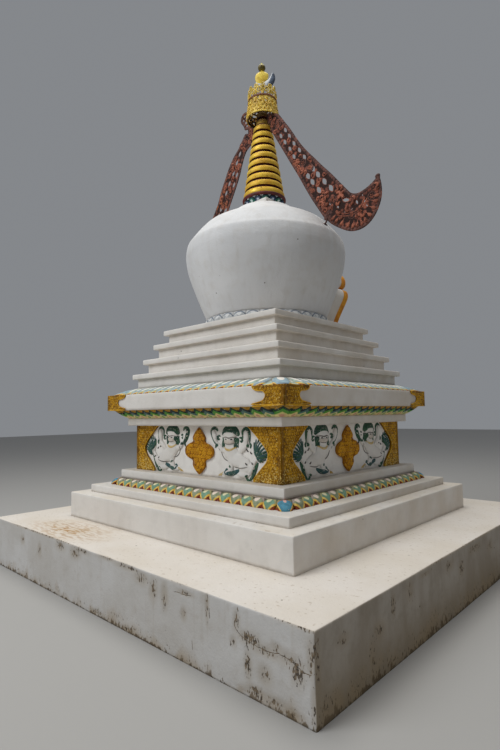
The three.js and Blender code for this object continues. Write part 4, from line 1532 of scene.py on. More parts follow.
def parasol_crown():
    """Two rows of scrolls, the lower large and the upper small, with pointed leaves standing between them."""
    low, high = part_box("parasol_crown")
    radius, foot, rise = high.x, low.z, high.z - low.z
    parts = [hoop(radius - 0.005, foot + 0.008, 0.0075, PARASOL_DARK),
             hoop(radius - 0.006, foot + 0.11, 0.005, CROWN_GOLD)]
    lower = round_spots(radius - 0.006, foot + rise * 0.36, 12, 0.042)
    upper = round_spots(radius - 0.010, foot + rise * 0.68, 12, 0.028, 0.5, 0.003)
    parts += [scroll_field(lower, CROWN_GOLD, 1.5, 0.19, 12), scroll_field(upper, CROWN_GOLD, 1.4, 0.25, 12)]
    for c, s in circle(12, 0.5):
        path = []
        for t in np.linspace(0.02, 0.86, 9):
            out = radius - 0.008 - 0.03 * t ** 3
            path.append((out * c, out * s, foot + rise * t))
        parts.append(leaf(path, 0.016, 0.005, (c, s, 0), CROWN_GOLD))
    return finish_piece(joined("parasol_crown_openwork", parts), "parasol_crown")


parasol_skirt()
parasol_crown()
print("parasol: skirt and crown")


# %% [markdown]
# ## Moon, sun and jewel
# The finial is three signs on one rod. The crescent lies between two drawn arcs that meet in a horn, and it
# ends in a stub where its other horn broke off. It is painted white, and its outer rim is painted blue-grey
# as painted shade. The sun is a gold drop that leans a little after years of wind, and the jewel is a small
# dark gold ball with a cap.

# %% Finial
def moon_paint():
    paint = Paint("moon_white_and_blue", 0.6)
    white = paint.layers("#dadee2", ((24, 5, 0.4, 0.7), "#bac0c6"))
    blue = paint.layers("#58667a", ((30, 5, 0.4, 0.7), "#3a4658"))
    # painted shade: the blue-grey rim stands for the shaded outer edge of the white crescent
    rim = paint.mask(paint.attribute("rim"), 0.35, 0.5)
    return paint.finish(paint.layers(white, (rim, blue)), paint.noise(60))


def sun_paint():
    paint = Paint("sun_gold", 0.5)
    coats = ((20, 4, 0.4, 0.65), "#e4c042"), ((60, 5, 0.64, 0.76), "#96742c")
    return paint.finish(paint.layers("#fadc54", *coats), paint.noise(70))


def jewel_paint():
    paint = Paint("jewel_olive", 0.45, 0.25)
    dark = paint.layers("#6e6022", ((30, 5, 0.4, 0.65), "#4c4018"))
    bright = paint.layers("#cec44c", ((40, 4, 0.4, 0.65), "#a89c36"))
    cap = paint.mask(paint.axis("Z"), 5.895, 5.915)
    return paint.finish(paint.layers(dark, (cap, bright)), paint.noise(60))


MOON_PAINT = moon_paint()
SUN_GOLD = sun_paint()
FINIAL_TURN = Matrix.Rotation(math.radians(225), 4, "Z")  # both signs face the corner where the camera stands
MOON_OUTER = ((0.132, 5.832), (0.160, 5.790), (0.165, 5.742), (0.150, 5.690), (0.118, 5.648), (0.072, 5.620),
              (0.020, 5.612), (-0.030, 5.622), (-0.068, 5.640))
MOON_INNER = ((0.132, 5.832), (0.116, 5.792), (0.096, 5.756), (0.070, 5.728), (0.036, 5.708), (0.002, 5.694),
              (-0.028, 5.688), (-0.054, 5.686), (-0.076, 5.690))
MOON_THICK = 0.0205
SUN_ROWS = (  # height, half width, shift to the side
    (5.640, 0.018, -0.024), (5.662, 0.040, -0.020), (5.695, 0.062, -0.013), (5.735, 0.077, -0.006),
    (5.772, 0.081, 0.001), (5.802, 0.072, 0.007), (5.822, 0.048, 0.008), (5.836, 0.020, 0.003),
    (5.842, 0.014, 0.0),
)
SUN_DEPTH = 0.026


def crescent():
    """The section is a flattened ring between the inner and the outer arc, from the broken end to the
    horn."""
    outer, inner = smooth_line(MOON_OUTER[::-1], 4), smooth_line(MOON_INNER[::-1], 4)
    points, rim_shade_amounts = [], []
    for far, near in list(zip(outer, inner))[:-1]:
        centre, half = (far + near) / 2, (far - near) / 2
        thick = MOON_THICK * min(1.0, half.length / 0.016)
        for c, s in circle(12):
            points.append(Vector((centre.x + half.x * c, -thick * s, centre.y + half.y * c)))
            # the painted rim shade is strongest on the outer edge and grows towards the horn
            rim_shade_amounts.append(0.46 + 0.5 * c + (centre.x - 0.085) * 6)
    stub = sum(points[:12], Vector()) / 12
    points += [stub + Vector((0.006, 0, 0.004)), Vector((MOON_OUTER[0][0], 0, MOON_OUTER[0][1]))]
    piece = new_piece("crescent_moon_rounded", points, ring_faces(len(rim_shade_amounts) // 12, 12), MOON_PAINT)
    put_attribute(piece, "rim", rim_shade_amounts + [0.5, 1])
    piece.data.transform(FINIAL_TURN)
    return finish_piece(piece, "crescent_moon")


def sun():
    rows = smooth_line(SUN_ROWS, 4)
    points = []
    for z, half, shift in rows:
        depth = min(half, SUN_DEPTH * (0.35 + 0.65 * half / 0.081))
        points += [(shift + half * c, depth * s, z) for c, s in circle(32)]
    points += [(rows[0][2], 0, rows[0][0]), (rows[-1][2], 0, rows[-1][0])]
    piece = new_piece("sun_disc_hammered", points, ring_faces(len(rows), 32), SUN_GOLD)
    piece.data.transform(FINIAL_TURN)
    return finish_piece(piece, "sun_disc")


def stem():
    low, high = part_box("parasol_stem")
    line = [(0.018, low.z), (0.020, low.z + 0.02), (0.012, low.z + 0.05), (0.012, high.z - 0.05),
            (0.020, high.z - 0.02), (0.016, high.z)]
    turned = turned_piece("parasol_stem_turned", smooth_line(line, 3), 20, PARASOL_GOLD)
    return finish_piece(turned, "parasol_stem")


def jewel():
    line = smooth_line(profile_of("finial_jewel"), 4)
    turned = turned_piece("finial_jewel_turned", line, 32, jewel_paint())
    return finish_piece(turned, "finial_jewel")


crescent()
sun()
stem()
jewel()
print("finial: moon, sun, stem and jewel")


# %% [markdown]
# ## Two pierced streamers
# The streamers are cut from sheet copper that has rusted and darkened. The frame gives the outline of each,
# with the broken edge of the right one. The sheet is filled between that outline and the holes, then every
# hole gets a rolled frame, the edge gets a row of overlapping scales, and scrolls fill what is left. All of
# it stands out equally on both faces, because the streamers are seen from both sides.

# %% Streamer paints
def rust_paint(name, light, middle, dark, lumps=0.0):
    """lumps is how many beaten lumps there are to the metre. The creases between them are painted dark as
    painted shade.
    """
    paint = Paint(name, 0.80, specular=0.2)
    washed = paint.times(paint.mask(paint.axis("X"), 0.5, 0.8), (16, 6, 0.46, 0.62, 0.55))
    colour = paint.layers(
        middle,
        ((7, 4, 0.38, 0.62), light),
        ((26, 6, 0.5, 0.66), dark),
        ((55, 6, 0.64, 0.72, 0.7), "#96542e"),
        (washed, "#b86a38"),
    )
    height = paint.noise(80, 5)
    if lumps:
        # painted shade: the creases between the beaten lumps are painted dark
        hollow = paint.mask(paint.cells(lumps), 0.22, 0.50)
        colour = paint.layers(colour, (hollow, "#32201c"))
        height = paint.minus(height, paint.times(hollow, 3.0))
    return paint.finish(colour, height, 0.002, 0.6)


RUST_SHEET = rust_paint("rust_sheet", "#9e5d4a", "#7d483b", "#50322c", 17)
RUST_SCROLL = rust_paint("rust_scroll", "#ac6952", "#8c5443", "#5a372e")
RUST_EDGE = rust_paint("rust_edge", "#765047", "#5c403a", "#3c2c2a")
print("rust mixed three ways")


# %% Outlines from the frame
def merged(node):
    """A copy of a node's loose triangles, joined along their edges."""
    work = bmesh.new()
    work.from_mesh(NODES[node].data)
    bmesh.ops.remove_doubles(work, verts=work.verts, dist=0.0002)
    return work


def face_loops(node):
    """The boundaries of the faces of a node that look along -Y, each in order as [x, z], the longest
    first."""
    work = merged(node)
    chosen = [face for face in work.faces if face.normal.y < -0.9]
    numbers = {face.index for face in chosen}
    following = {}
    for face in chosen:
        for loop in face.loops:
            if sum(1 for other in loop.edge.link_faces if other.index in numbers) == 1:
                following[loop.vert.index] = loop.link_loop_next.vert.index
    work.verts.ensure_lookup_table()
    loops = []
    while following:
        start, at = next(iter(following.items()))
        ring = [start]
        del following[start]
        while at in following:
            ring.append(at)
            at = following.pop(at)
        loops.append([Vector((work.verts[i].co.x, work.verts[i].co.z)) for i in ring])
    work.free()
    return sorted(loops, key=len)[::-1]


def flowing(points, steps, sharp=38):
    """A closed curve through the points that keeps corners sharper than the angle."""
    count = len(points)
    ways = [points[(i + 1) % count] - points[i] for i in range(count)]
    curve = []
    for i, span in enumerate(ways):
        start, end = points[i], points[(i + 1) % count]
        tangents = []
        for before, after in ((ways[i - 1], span), (span, ways[(i + 1) % count])):
            through = (before.normalized() + after.normalized()).normalized() * span.length
            tangents.append(span if math.degrees(before.angle(after)) > sharp else through)
        for step in range(steps):
            t = step / steps
            a, b = 2 * t ** 3 - 3 * t ** 2 + 1, t ** 3 - 2 * t ** 2 + t
            c, d = -2 * t ** 3 + 3 * t ** 2, t ** 3 - t ** 2
            curve.append(start * a + tangents[0] * b + end * c + tangents[1] * d)
    return curve


def turning(loop):
    """1 where a closed outline runs anticlockwise, or else -1."""
    return 1 if sum(p.cross(q) for p, q in zip(loop, loop[1:] + loop[:1])) > 0 else -1


def edge_distance(x, z, loop):
    """How far a point lies inside a closed outline, negative when it is outside."""
    here = np.array((x, z))
    start = np.array([tuple(p) for p in loop])
    span = np.roll(start, -1, axis=0) - start
    share = np.clip(((here - start) * span).sum(1) / np.maximum((span ** 2).sum(1), 1e-12), 0, 1)
    distance = np.hypot(*(start + span * share[:, None] - here).T).min()
    end = start + span
    above = (start[:, 1] > z) != (end[:, 1] > z)
    with np.errstate(divide="ignore", invalid="ignore"):
        crossing = start[:, 0] + (z - start[:, 1]) * span[:, 0] / span[:, 1]
    inside = np.count_nonzero(above & (crossing > x)) % 2 == 1
    return distance if inside else -distance


def pierced_plate(name, outline, holes, front, back, material):
    """A flat sheet in the XZ plane between two values of y, with holes through it."""
    loops = [outline, *holes]
    flat = [p for loop in loops for p in loop]
    count = len(flat)
    points = [(p.x, front, p.y) for p in flat] + [(p.x, back, p.y) for p in flat]
    faces = []
    for a, b, c in tessellate_polygon([[Vector((p.x, p.y, 0)) for p in loop] for loop in loops]):
        if (flat[b] - flat[a]).cross(flat[c] - flat[a]) < 0:
            b, c = c, b
        faces += [(a, b, c), (count + a, count + c, count + b)]
    first = 0
    for loop in loops:
        outward = (turning(loop) > 0) == (loop is outline)
        for i in range(len(loop)):
            a, b = first + i, first + (i + 1) % len(loop)
            faces.append((b, a, count + a, count + b) if outward else (a, b, count + b, count + a))
        first += len(loop)
    return new_piece(name, points, faces, material, smooth=False)


print("outline kit ready")

# %% [markdown]
# The holes are measured along the left streamer: two columns of tilted lozenges down the straight part, and
# small leaves in the bend. Each is [x, z, length, width, direction in degrees]. The right one has the same
# holes turned over, and small oval ones in the round boss at its top.

# %% Streamer holes
COLUMN_HOLES = (
    (-0.282, 4.882), (-0.340, 4.783), (-0.412, 4.669), (-0.467, 4.556), (-0.352, 4.926), (-0.409, 4.828),
    (-0.472, 4.711), (-0.548, 4.602), (-0.615, 4.492), (-0.657, 4.254), (-0.716, 4.164), (-0.799, 4.043),
    (-0.727, 4.315), (-0.792, 4.223), (-0.874, 4.114), (-0.954, 4.013),
)
BEND_HOLES = (
    (-1.134, 3.821, 0.100, 0.046, 20), (-1.262, 3.758, 0.066, 0.030, 70), (-1.348, 3.741, 0.058, 0.028, 60),
    (-1.374, 3.686, 0.044, 0.020, 50), (-1.409, 3.586, 0.050, 0.020, 45), (-1.201, 3.703, 0.040, 0.018, -20),
    (-1.328, 3.811, 0.040, 0.018, 80), (-1.034, 3.777, 0.046, 0.028, 60), (-0.935, 3.841, 0.046, 0.026, 50),
    (-1.117, 3.697, 0.034, 0.016, 10),
)
BOSS_HOLES = (
    (0.326, 5.333, 0.050, 0.040, 60), (0.269, 5.348, 0.050, 0.038, 100), (0.237, 5.388, 0.046, 0.038, 20),
    (0.222, 5.293, 0.050, 0.040, 120), (0.280, 5.292, 0.050, 0.038, 45), (0.300, 5.388, 0.044, 0.036, 150),
    (0.222, 5.342, 0.040, 0.034, 60), (0.330, 5.285, 0.034, 0.028, 20), (0.222, 5.240, 0.044, 0.036, 80),
    (0.262, 5.244, 0.044, 0.032, 30), (0.340, 5.378, 0.034, 0.026, 100),
)
BOSS_PINCH = 0.2
ROSETTES = ((-0.240, 5.037), (-0.592, 4.430), (-0.687, 4.336), (-0.975, 3.873), (-1.199, 3.640),
            (-1.433, 3.765))
TAIL_FROM = 1.3
TAIL_SHARE = 0.7
BOSS_FROM = 0.186  # the right streamer's boss starts at the skirt's wall


def lozenge(x, z, length, width, degrees, pinch=1.1):
    """A hole with rounded sides. The pinch draws its ends out narrow, and 0 leaves it oval."""
    turn = math.radians(degrees)
    along = Vector((math.cos(turn), math.sin(turn)))
    across = Vector((-along.y, along.x))
    return [Vector((x, z)) + along * (length / 2 * c) + across * (width / 2 * s * abs(s) ** pinch)
            for c, s in circle(12)]


def right_place(x, z):
    """The right streamer stands a little further out on its way down and has a shorter tail."""
    reach = abs(x) + 0.045 * min(1.0, max(0.0, (z - 4.05) / 0.5))
    return reach if reach < TAIL_FROM else TAIL_FROM + (reach - TAIL_FROM) * TAIL_SHARE


def hole_list(outline, broken):
    """The holes that fit inside an outline, for the left side, or carried over to the right."""
    upper, lower = (0.088, 0.046, 62), (0.104, 0.058, 62)
    rows = [(x, z, *(upper if z > 4.4 else lower)) for x, z in COLUMN_HOLES] + list(BEND_HOLES)
    if broken:
        rows = [(right_place(x, z), z, length, width, 180 - turn) for x, z, length, width, turn in rows]
        rows += [(*row, BOSS_PINCH) for row in BOSS_HOLES]
    return [row for row in rows if edge_distance(row[0], row[1], outline) > row[3] * 0.6 + 0.010]


print("holes measured:", len(COLUMN_HOLES) + len(BEND_HOLES))


# %% Streamers
SHEET_HALF = 0.004


def inset_line(outline, inset):
    """The outline moved inwards along its own normals."""
    shift = inset * turning(outline)
    line = []
    for i, p in enumerate(outline):
        way = (outline[(i + 1) % len(outline)] - outline[i - 1]).normalized()
        line.append(p + Vector((-way.y, way.x)) * shift)
    return line


def scale_bead(length, width, thick):
    """A flattened ball, long along X, that makes one scale of the edge."""
    rings = [(math.cos(a), math.sin(a)) for a in np.linspace(0.25, math.pi - 0.25, 6)]
    points = [(-rise * length / 2, size * c * thick, size * s * width / 2)
              for rise, size in rings for c, s in circle(10)]
    points += [(-length / 2, 0, 0), (length / 2, 0, 0)]
    piece = new_piece("scale", points, ring_faces(len(rings), 10), RUST_EDGE)
    piece.data.flip_normals()
    return piece


def edge_scales(outline, inset, length, width):
    line = inset_line(outline, inset)
    perimeter = sum((q - p).length for p, q in zip(line, line[1:] + line[:1]))
    edges = [(i, (i + 1) % len(line)) for i in range(len(line))]
    bead = scale_bead(length, width, 0.0085)
    return row_of(bead, [(p.x, 0, p.y) for p in line], edges, round(perimeter / (length * 0.72)), RUST_EDGE)


def bend_petals(outline):
    """Leaves that stand side by side along the outer edge of the bend, pointing inwards."""
    foot, tip = inset_line(outline, 0.020), inset_line(outline, 0.112)
    leaves, places, walked = [], [], 0.0
    for i, (start, end) in enumerate(zip(foot, tip)):
        walked += (start - foot[i - 1]).length
        inwards = (end - start).normalized()
        outer = abs(start.x) > 0.90 and inwards.y > (0.25 if abs(start.x) < 1.25 else -0.3)
        if walked < 0.050 or not outer or edge_distance(end.x, end.y, outline) < 0.06:
            continue
        walked = 0.0
        path = [(p.x, 0, p.y) for p in (start.lerp(end, t) for t in (0, 0.25, 0.5, 0.75, 1))]
        leaves.append(leaf(path, 0.028, 0.022, (0, 1, 0), RUST_SCROLL))
        places.append(tuple(start.lerp(end, 0.5)))
    return leaves, places


def rosette(x, z, size):
    """A boss with six petals round it, through the sheet so that both faces show it."""
    ring = [(x + size * c, 0, z + size * s) for c, s in circle(18)]
    parts = [tube(ring, 0.007, 6, RUST_EDGE, cyclic=True)]
    for c, s in circle(6):
        path = [(x + size * t * c, 0, z + size * t * s) for t in (0.1, 0.35, 0.6, 0.85, 1.1)]
        parts.append(leaf(path, size * 0.32, 0.010, (0, 1, 0), RUST_SCROLL))
    return parts


def fittings(side, outline):
    """The rolled tip, the rod that holds up the bend, and the rod's foot on the dome."""
    tip = max(outline, key=lambda p: p.y if abs(p.x) > 1.2 else 0)
    rolled = [(tip.x, 0, tip.y - drop) for drop in (0.020, 0.008, 0)]
    rod = [(side * x, 0, z) for x, z in ((0.936, 3.764), (0.905, 3.705), (0.873, 3.645), (0.852, 3.604))]
    foot = [(side * 0.868, y, 3.632) for y in (-0.030, 0.030)]
    return [tube(rolled, [0.012, 0.014, 0.006], 8, RUST_EDGE), tube(rod, 0.0088, 8, RUST_EDGE),
            tube(foot, 0.010, 8, RUST_EDGE)]


BEND_FROM = 0.88
STREAMER_FIELDS = (  # in the bend or not, pitch, sizes, turns, wire radius
    (False, 0.047, (0.026, 0.036), 1.0, 0.42), (True, 0.058, (0.030, 0.038), 0.6, 0.56),
)
SWEEPS = (((1.00, 3.70), (1.10, 3.655), (1.22, 3.64), (1.32, 3.68), (1.38, 3.76)),
          ((1.02, 3.725), (1.11, 3.68), (1.22, 3.665), (1.305, 3.70), (1.355, 3.775)))


CUT_X = (-0.303, -0.251, -0.182, -0.119, -0.05)  # the line where the left one's end shows below the parasol
CUT_Z = (5.096, 5.170, 5.214, 5.232, 5.240)


def trimmed(outline):
    """The left streamer's upper end, cut off below the parasol."""
    line = []
    for p in outline:
        lowered = Vector((p.x, min(p.y, float(np.interp(p.x, CUT_X, CUT_Z)))))
        if not line or (lowered - line[-1]).length > 0.004:
            line.append(lowered)
    return line


def streamer_outline(node, broken):
    outline = flowing(face_loops(node)[0], 3)
    if not broken:
        return trimmed(outline)
    outline = [Vector((min(p.x, TAIL_FROM + (p.x - TAIL_FROM) * TAIL_SHARE), p.y)) for p in outline]
    return [Vector((max(p.x, BOSS_FROM), p.y)) if p.y > SKIRT_FOOT - 0.03 else p for p in outline]


def streamer(node, broken):
    outline = streamer_outline(node, broken)
    rows = hole_list(outline, broken)
    holes = [lozenge(*row) for row in rows]
    parts = [pierced_plate("sheet", outline, holes, -SHEET_HALF, SHEET_HALF, RUST_SHEET)]
    parts += [tube([(p.x, 0, p.y) for p in hole], 0.0045, 5, RUST_SCROLL, cyclic=True) for hole in holes]
    parts.append(edge_scales(outline, 0.018, 0.056, 0.040))
    petals, petal_places = bend_petals(outline)
    parts += petals
    bosses = [(right_place(x, z) if broken else x, z) for x, z in ROSETTES]
    bosses = [(x, z) for x, z in bosses if edge_distance(x, z, outline) > 0.05]
    for x, z in bosses:
        parts += rosette(x, z, 0.042)
    taken = [(row[0], row[1], row[2] / 2 + 0.016) for row in rows]
    taken += [(x, z, 0.07) for x, z in bosses] + [(x, z, 0.042) for x, z in petal_places]
    low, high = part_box(node)
    for in_bend, pitch, sizes, turns, thick in STREAMER_FIELDS:
        def inside(x, z):
            here = (abs(x) >= BEND_FROM) == in_bend and edge_distance(x, z, outline) >= 0.036
            return here and all(math.hypot(x - there, z - height) > reach for there, height, reach in taken)

        places = shaken_grid((low.x, low.z), (high.x, high.z), pitch, inside)
        spots = []
        for x, z in places:
            spots.append(((x, 0, z), either_way(), CHANCE.uniform(0, FULL_TURN), CHANCE.uniform(*sizes)))
        parts.append(scroll_field(spots, RUST_SCROLL, turns, thick, 7))
    for line in SWEEPS:
        bow = [(right_place(x, z) if broken else -x, 0, z) for x, z in smooth_line(line, 6)]
        parts.append(tube(bow, 0.007, 6, RUST_SCROLL))
    parts += fittings(1 if broken else -1, outline)
    return finish_piece(joined(node + "_pierced", parts), node)


streamer("streamer_left", False)
streamer("streamer_right", True)
print("streamers: 2")


# %% [markdown]
# ## The niche
# The niche leans out from the dome. Its block and its gilded rim have the same outline: a lobe, a notch and
# a flame that ends in a point, as they show at the edge of the dome. The pointed arch cut through both is
# read from the frame and lowered to match. They are made upright as flat sheets and then sheared into their
# lean.

# %% Niche
NICHE_FACE = -0.855  # the front of the rim before it leans
NICHE_RIM = 0.108
NICHE_BACK = -0.560
NICHE_LEAN = 0.34
ARCH_FOOT = 2.760
ARCH_SHARE = 0.84  # of the height that the arch has in the frame


def niche_outline(foot):
    """The lobe, the notch and the flame, as [x, z] from the lower right over the point to the lower left."""
    half = [(0.385, foot), (0.424, 2.780), (0.474, 2.940), (0.500, 3.020), (0.506, 3.070), (0.488, 3.130),
            (0.452, 3.166), (0.366, 3.188), (0.416, 3.204), (0.434, 3.244), (0.428, 3.300), (0.398, 3.360),
            (0.346, 3.412), (0.280, 3.448), (0.180, 3.484), (0.085, 3.530), (0.0, 3.610)]
    return [Vector(p) for p in half] + [Vector((-x, z)) for x, z in half[-2::-1]]


def leaned(piece, foot):
    shear = Matrix.Identity(4)
    shear[1][2] = -NICHE_LEAN
    shear[1][3] = NICHE_LEAN * foot
    piece.data.transform(shear)
    return piece


def niche():
    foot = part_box("niche_frame")[0].z
    arch = [Vector((p.x, ARCH_FOOT + (p.y - ARCH_FOOT) * ARCH_SHARE)) for p in face_loops("niche_frame")[1]]
    outer, arch = flowing(niche_outline(foot), 3, 60), flowing(arch, 3)
    seam = NICHE_FACE + NICHE_RIM
    block = pierced_plate("niche_body_plaster", outer, [arch], seam - 0.002, NICHE_BACK, COURSE_WASH)
    gilt = [pierced_plate("rim", outer, [arch], NICHE_FACE + 0.012, seam, NICHE_GOLD)]
    for loop, inset, thick in ((outer, 0.014, 0.013), (outer, 0.046, 0.005), (arch, -0.014, 0.013),
                               (arch, -0.044, 0.005)):
        path = [(p.x, NICHE_FACE + 0.013, p.y) for p in inset_line(loop, inset)]
        gilt.append(tube(path, thick, 6, NICHE_GOLD, cyclic=True))

    def between(x, z):
        return edge_distance(x, z, outer) > 0.058 and edge_distance(x, z, arch) < -0.056

    spots = []
    for x, z in shaken_grid((-0.5, foot), (0.5, 3.69), 0.042, between):
        way = (0, -1, 0) if x < 0 else (0, 1, 0)
        spots.append(((x, NICHE_FACE + 0.010, z), way, CHANCE.uniform(0, FULL_TURN), 0.018))
    gilt.append(scroll_field(spots, GOLD_SCROLL, 1.4, 0.24))
    finish_piece(leaned(joined("niche_frame_gilt", gilt), foot), "niche_frame")
    finish_piece(leaned(block, foot), "niche_body")


niche()
print("niche: block and gilded rim")


# %% [markdown]
# ## Snow lions
# A snow lion is white plaster relief with its mane, locks, collar and tail picked out in colour. The body
# starts from a copy of the plain relief, rebuilt with small even cells and smoothed, as if a thumb had gone
# over wet plaster. The colours are then laid on as thin strokes: each is drawn in the plane of the wall and
# dropped onto the relief, the way a brush follows it. Every stroke is its paint, its half
# width and the points along it as [x, height].

# %% Lion paints
def brushed_paint(name, first, second):
    paint = Paint(name, 0.8)
    colour = paint.layers(first, ((18, 4, 0.38, 0.62), second), ((60, 6, 0.6, 0.7), "#c4c0b6"))
    return paint.finish(colour, paint.noise(90, 3))


LION_GREEN = brushed_paint("lion_green", "#345c42", "#26483c")
LION_TEAL = brushed_paint("lion_teal", "#305458", "#3c5c54")
LION_GREY = brushed_paint("lion_grey", "#6c6862", "#8c867e")
LION_PINK = brushed_paint("lion_muzzle", "#d6ccc2", "#c8beb2")
LION_DARK = brushed_paint("lion_dark", "#302826", "#403832")
LION_OCHRE = brushed_paint("lion_ochre", "#c6a04e", "#d2ba84")
print("lion paints mixed")

# %% Lion strokes
STROKES = (
    (LION_GREEN, 0.034, ((0.335, 1.405), (0.37, 1.455), (0.44, 1.47), (0.51, 1.455), (0.55, 1.405))),
    (LION_GREY, 0.006, ((0.37, 1.385), (0.41, 1.390), (0.45, 1.382), (0.49, 1.390), (0.53, 1.385))),
    (LION_GREEN, 0.012, ((0.30, 1.395), (0.275, 1.40), (0.262, 1.38), (0.275, 1.365), (0.29, 1.372))),
    (LION_GREEN, 0.012, ((0.555, 1.385), (0.58, 1.385), (0.592, 1.365), (0.580, 1.350), (0.565, 1.358))),
    (LION_PINK, 0.024, ((0.385, 1.352), (0.42, 1.345), (0.46, 1.345), (0.50, 1.352))),
    (LION_GREY, 0.005, ((0.39, 1.332), (0.42, 1.326), (0.46, 1.326), (0.49, 1.332))),
    (LION_DARK, 0.006, ((0.402, 1.368), (0.412, 1.372), (0.424, 1.366))),
    (LION_DARK, 0.006, ((0.468, 1.366), (0.478, 1.372), (0.490, 1.368))),
    (LION_OCHRE, 0.011, ((0.365, 1.30), (0.40, 1.278), (0.44, 1.27), (0.48, 1.278), (0.52, 1.30))),
    (LION_GREEN, 0.018, ((0.27, 1.30), (0.22, 1.34), (0.19, 1.39), (0.175, 1.44), (0.20, 1.47), (0.24, 1.47),
                         (0.262, 1.445))),
    (LION_GREEN, 0.012, ((0.25, 1.33), (0.236, 1.305), (0.23, 1.28))),
    (LION_GREEN, 0.010, ((0.265, 1.325), (0.276, 1.312), (0.285, 1.30))),
    (LION_GREEN, 0.014, ((0.60, 1.38), (0.595, 1.42), (0.60, 1.45), (0.64, 1.475), (0.68, 1.45), (0.69, 1.40),
                         (0.685, 1.34))),
    (LION_GREEN, 0.012, ((0.685, 1.34), (0.70, 1.32), (0.69, 1.295))),
    (LION_GREEN, 0.010, ((0.672, 1.335), (0.665, 1.315), (0.668, 1.30))),
    (LION_GREY, 0.005, ((0.30, 1.28), (0.33, 1.21), (0.37, 1.175), (0.41, 1.165))),
    (LION_GREY, 0.005, ((0.50, 1.11), (0.56, 1.108), (0.62, 1.114), (0.67, 1.125))),
    (LION_GREEN, 0.010, ((0.425, 1.125), (0.44, 1.12), (0.452, 1.108))),
    (LION_TEAL, 0.022, ((0.555, 1.088), (0.515, 1.072), (0.465, 1.055), (0.42, 1.050), (0.395, 1.052))),
    (LION_TEAL, 0.010, ((0.42, 1.045), (0.385, 1.045), (0.368, 1.066), (0.380, 1.088), (0.398, 1.082))),
    (LION_OCHRE, 0.008, ((0.34, 1.06), (0.315, 1.04), (0.30, 1.02))),
    (LION_OCHRE, 0.007, ((0.31, 1.045), (0.285, 1.03), (0.27, 1.02))),
    (LION_DARK, 0.007, ((0.645, 1.285), (0.655, 1.27), (0.668, 1.262))),
    (LION_DARK, 0.007, ((0.690, 1.262), (0.70, 1.25), (0.713, 1.244))),
    (LION_DARK, 0.007, ((0.650, 1.162), (0.66, 1.15), (0.673, 1.144))),
    (LION_DARK, 0.007, ((0.720, 1.170), (0.73, 1.16), (0.743, 1.154))),
    (LION_GREEN, 0.019, ((0.685, 1.012), (0.72, 1.045), (0.75, 1.10), (0.785, 1.17))),
    (LION_GREEN, 0.012, ((0.715, 1.03), (0.68, 1.004), (0.650, 1.012), (0.646, 1.040), (0.666, 1.050))),
)
LOCKS = (0.335, 0.352, 0.368, 0.505, 0.520, 0.537)
PLUME_FOOT = (0.79, 1.22)
PLUME_TIPS = ((0.74, 1.35), (0.765, 1.375), (0.80, 1.385), (0.83, 1.37), (0.86, 1.35), (0.89, 1.32),
              (0.915, 1.29),
              (0.925, 1.26), (0.91, 1.23), (0.88, 1.20), (0.85, 1.18), (0.82, 1.17))


LION_FLATTER = 0.7


def lion_body(node):
    """A smooth closed body, rebuilt from the plain relief."""
    work = merged(node)
    mesh = bpy.data.meshes.new("relief")
    work.to_mesh(mesh)
    work.free()
    relief = placed("relief", mesh)
    remesh = relief.modifiers.new("even cells", "REMESH")
    remesh.mode = "VOXEL"
    remesh.voxel_size = 0.0085
    smooth = relief.modifiers.new("thumbed", "SMOOTH")
    smooth.factor = 0.5
    smooth.iterations = 7
    body = placed("lion_body", evaluated_mesh(relief))
    bpy.data.objects.remove(relief)
    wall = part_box("throne_die")[0].y
    for vertex in body.data.vertices:
        if vertex.co.y < wall:
            vertex.co.y = wall + (vertex.co.y - wall) * LION_FLATTER
    body.data.materials.clear()
    body.data.materials.append(LION_WHITE)
    return body


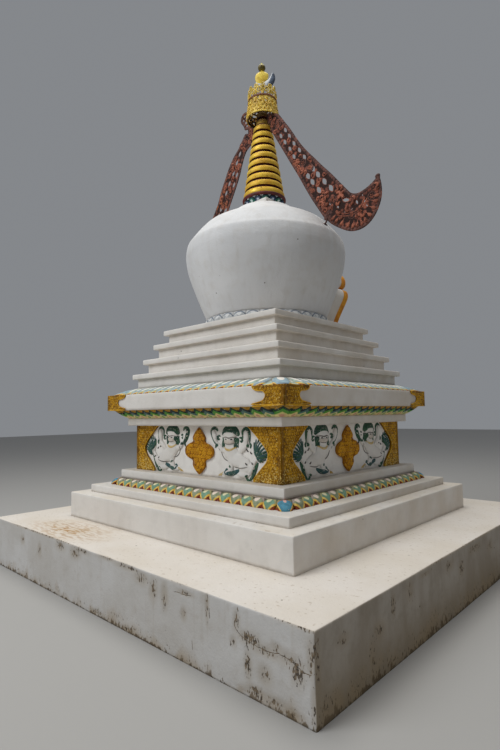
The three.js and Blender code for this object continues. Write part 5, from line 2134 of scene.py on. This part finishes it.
def draped_stroke(surface, wall, half_width, path, material, rise=0.004):
    """A brush stroke in the plane of the wall, dropped onto the relief from the front."""
    line = smooth_line(path, 4)
    last = len(line) - 1

    def cell(i, j):
        t, u = i / last, j / 2 - 1
        along = (line[min(i + 1, last)] - line[max(i - 1, 0)]).normalized()
        wide = half_width * max(0.12, math.sin(math.pi * (0.06 + 0.88 * t)) ** 0.5)
        x, z = line[i] + Vector((-along.y, along.x)) * (wide * u)
        hit = surface.ray_cast(Vector((x, -3, z)), Vector((0, 1, 0)))[0]
        y = min(hit.y, wall) if hit else wall
        return (x, y - rise * (1 - 0.7 * u * u), z), (x, y + 0.006, z), (j / 4, t)

    piece = closed_sheet("stroke", last + 1, 5, cell, material)
    work = bmesh.new()
    work.from_mesh(piece.data)
    bmesh.ops.recalc_face_normals(work, faces=work.faces)
    work.to_mesh(piece.data)
    work.free()
    return piece


LION_WHITE = whitewash("lion_whitewash", "#eae7e2", "#e0dcd6", 0.03, 0.2)


def lion(node):
    body = lion_body(node)
    surface = BVHTree.FromObject(body, bpy.context.evaluated_depsgraph_get())
    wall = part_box("throne_die")[0].y
    strokes = [draped_stroke(surface, wall, width, path, paint) for paint, width, path in STROKES]
    for x in LOCKS:
        path = ((x, 1.385), (x + 0.006, 1.36), (x - 0.004, 1.325), (x + 0.002, 1.295))
        strokes.append(draped_stroke(surface, wall, 0.011, path, LION_GREEN))
    foot = Vector(PLUME_FOOT)
    for number, tip in enumerate(PLUME_TIPS):
        tip = Vector(tip)
        bow = Vector((-(tip - foot).y, (tip - foot).x)) * 0.14 * (1 - number / 5.5)
        path = (foot, foot.lerp(tip, 0.5) + bow, tip)
        paint = LION_TEAL if number % 2 else LION_GREEN
        strokes.append(draped_stroke(surface, wall, 0.0105, path, paint, 0.006))
    return joined("lion", [body, *strokes])


def lions():
    one = lion("snow_lion_front_right")
    for turn, side in enumerate(SIDES):
        for hand in ("left", "right"):
            node = f"snow_lion_{side}_{hand}"
            finish_piece(spun(one, turn, node + "_painted", mirror=hand == "left"), node)
    faces = len(one.data.polygons)
    bpy.data.objects.remove(one)
    return faces


print("lion faces each:", lions())


# %% Finish
print("finished")
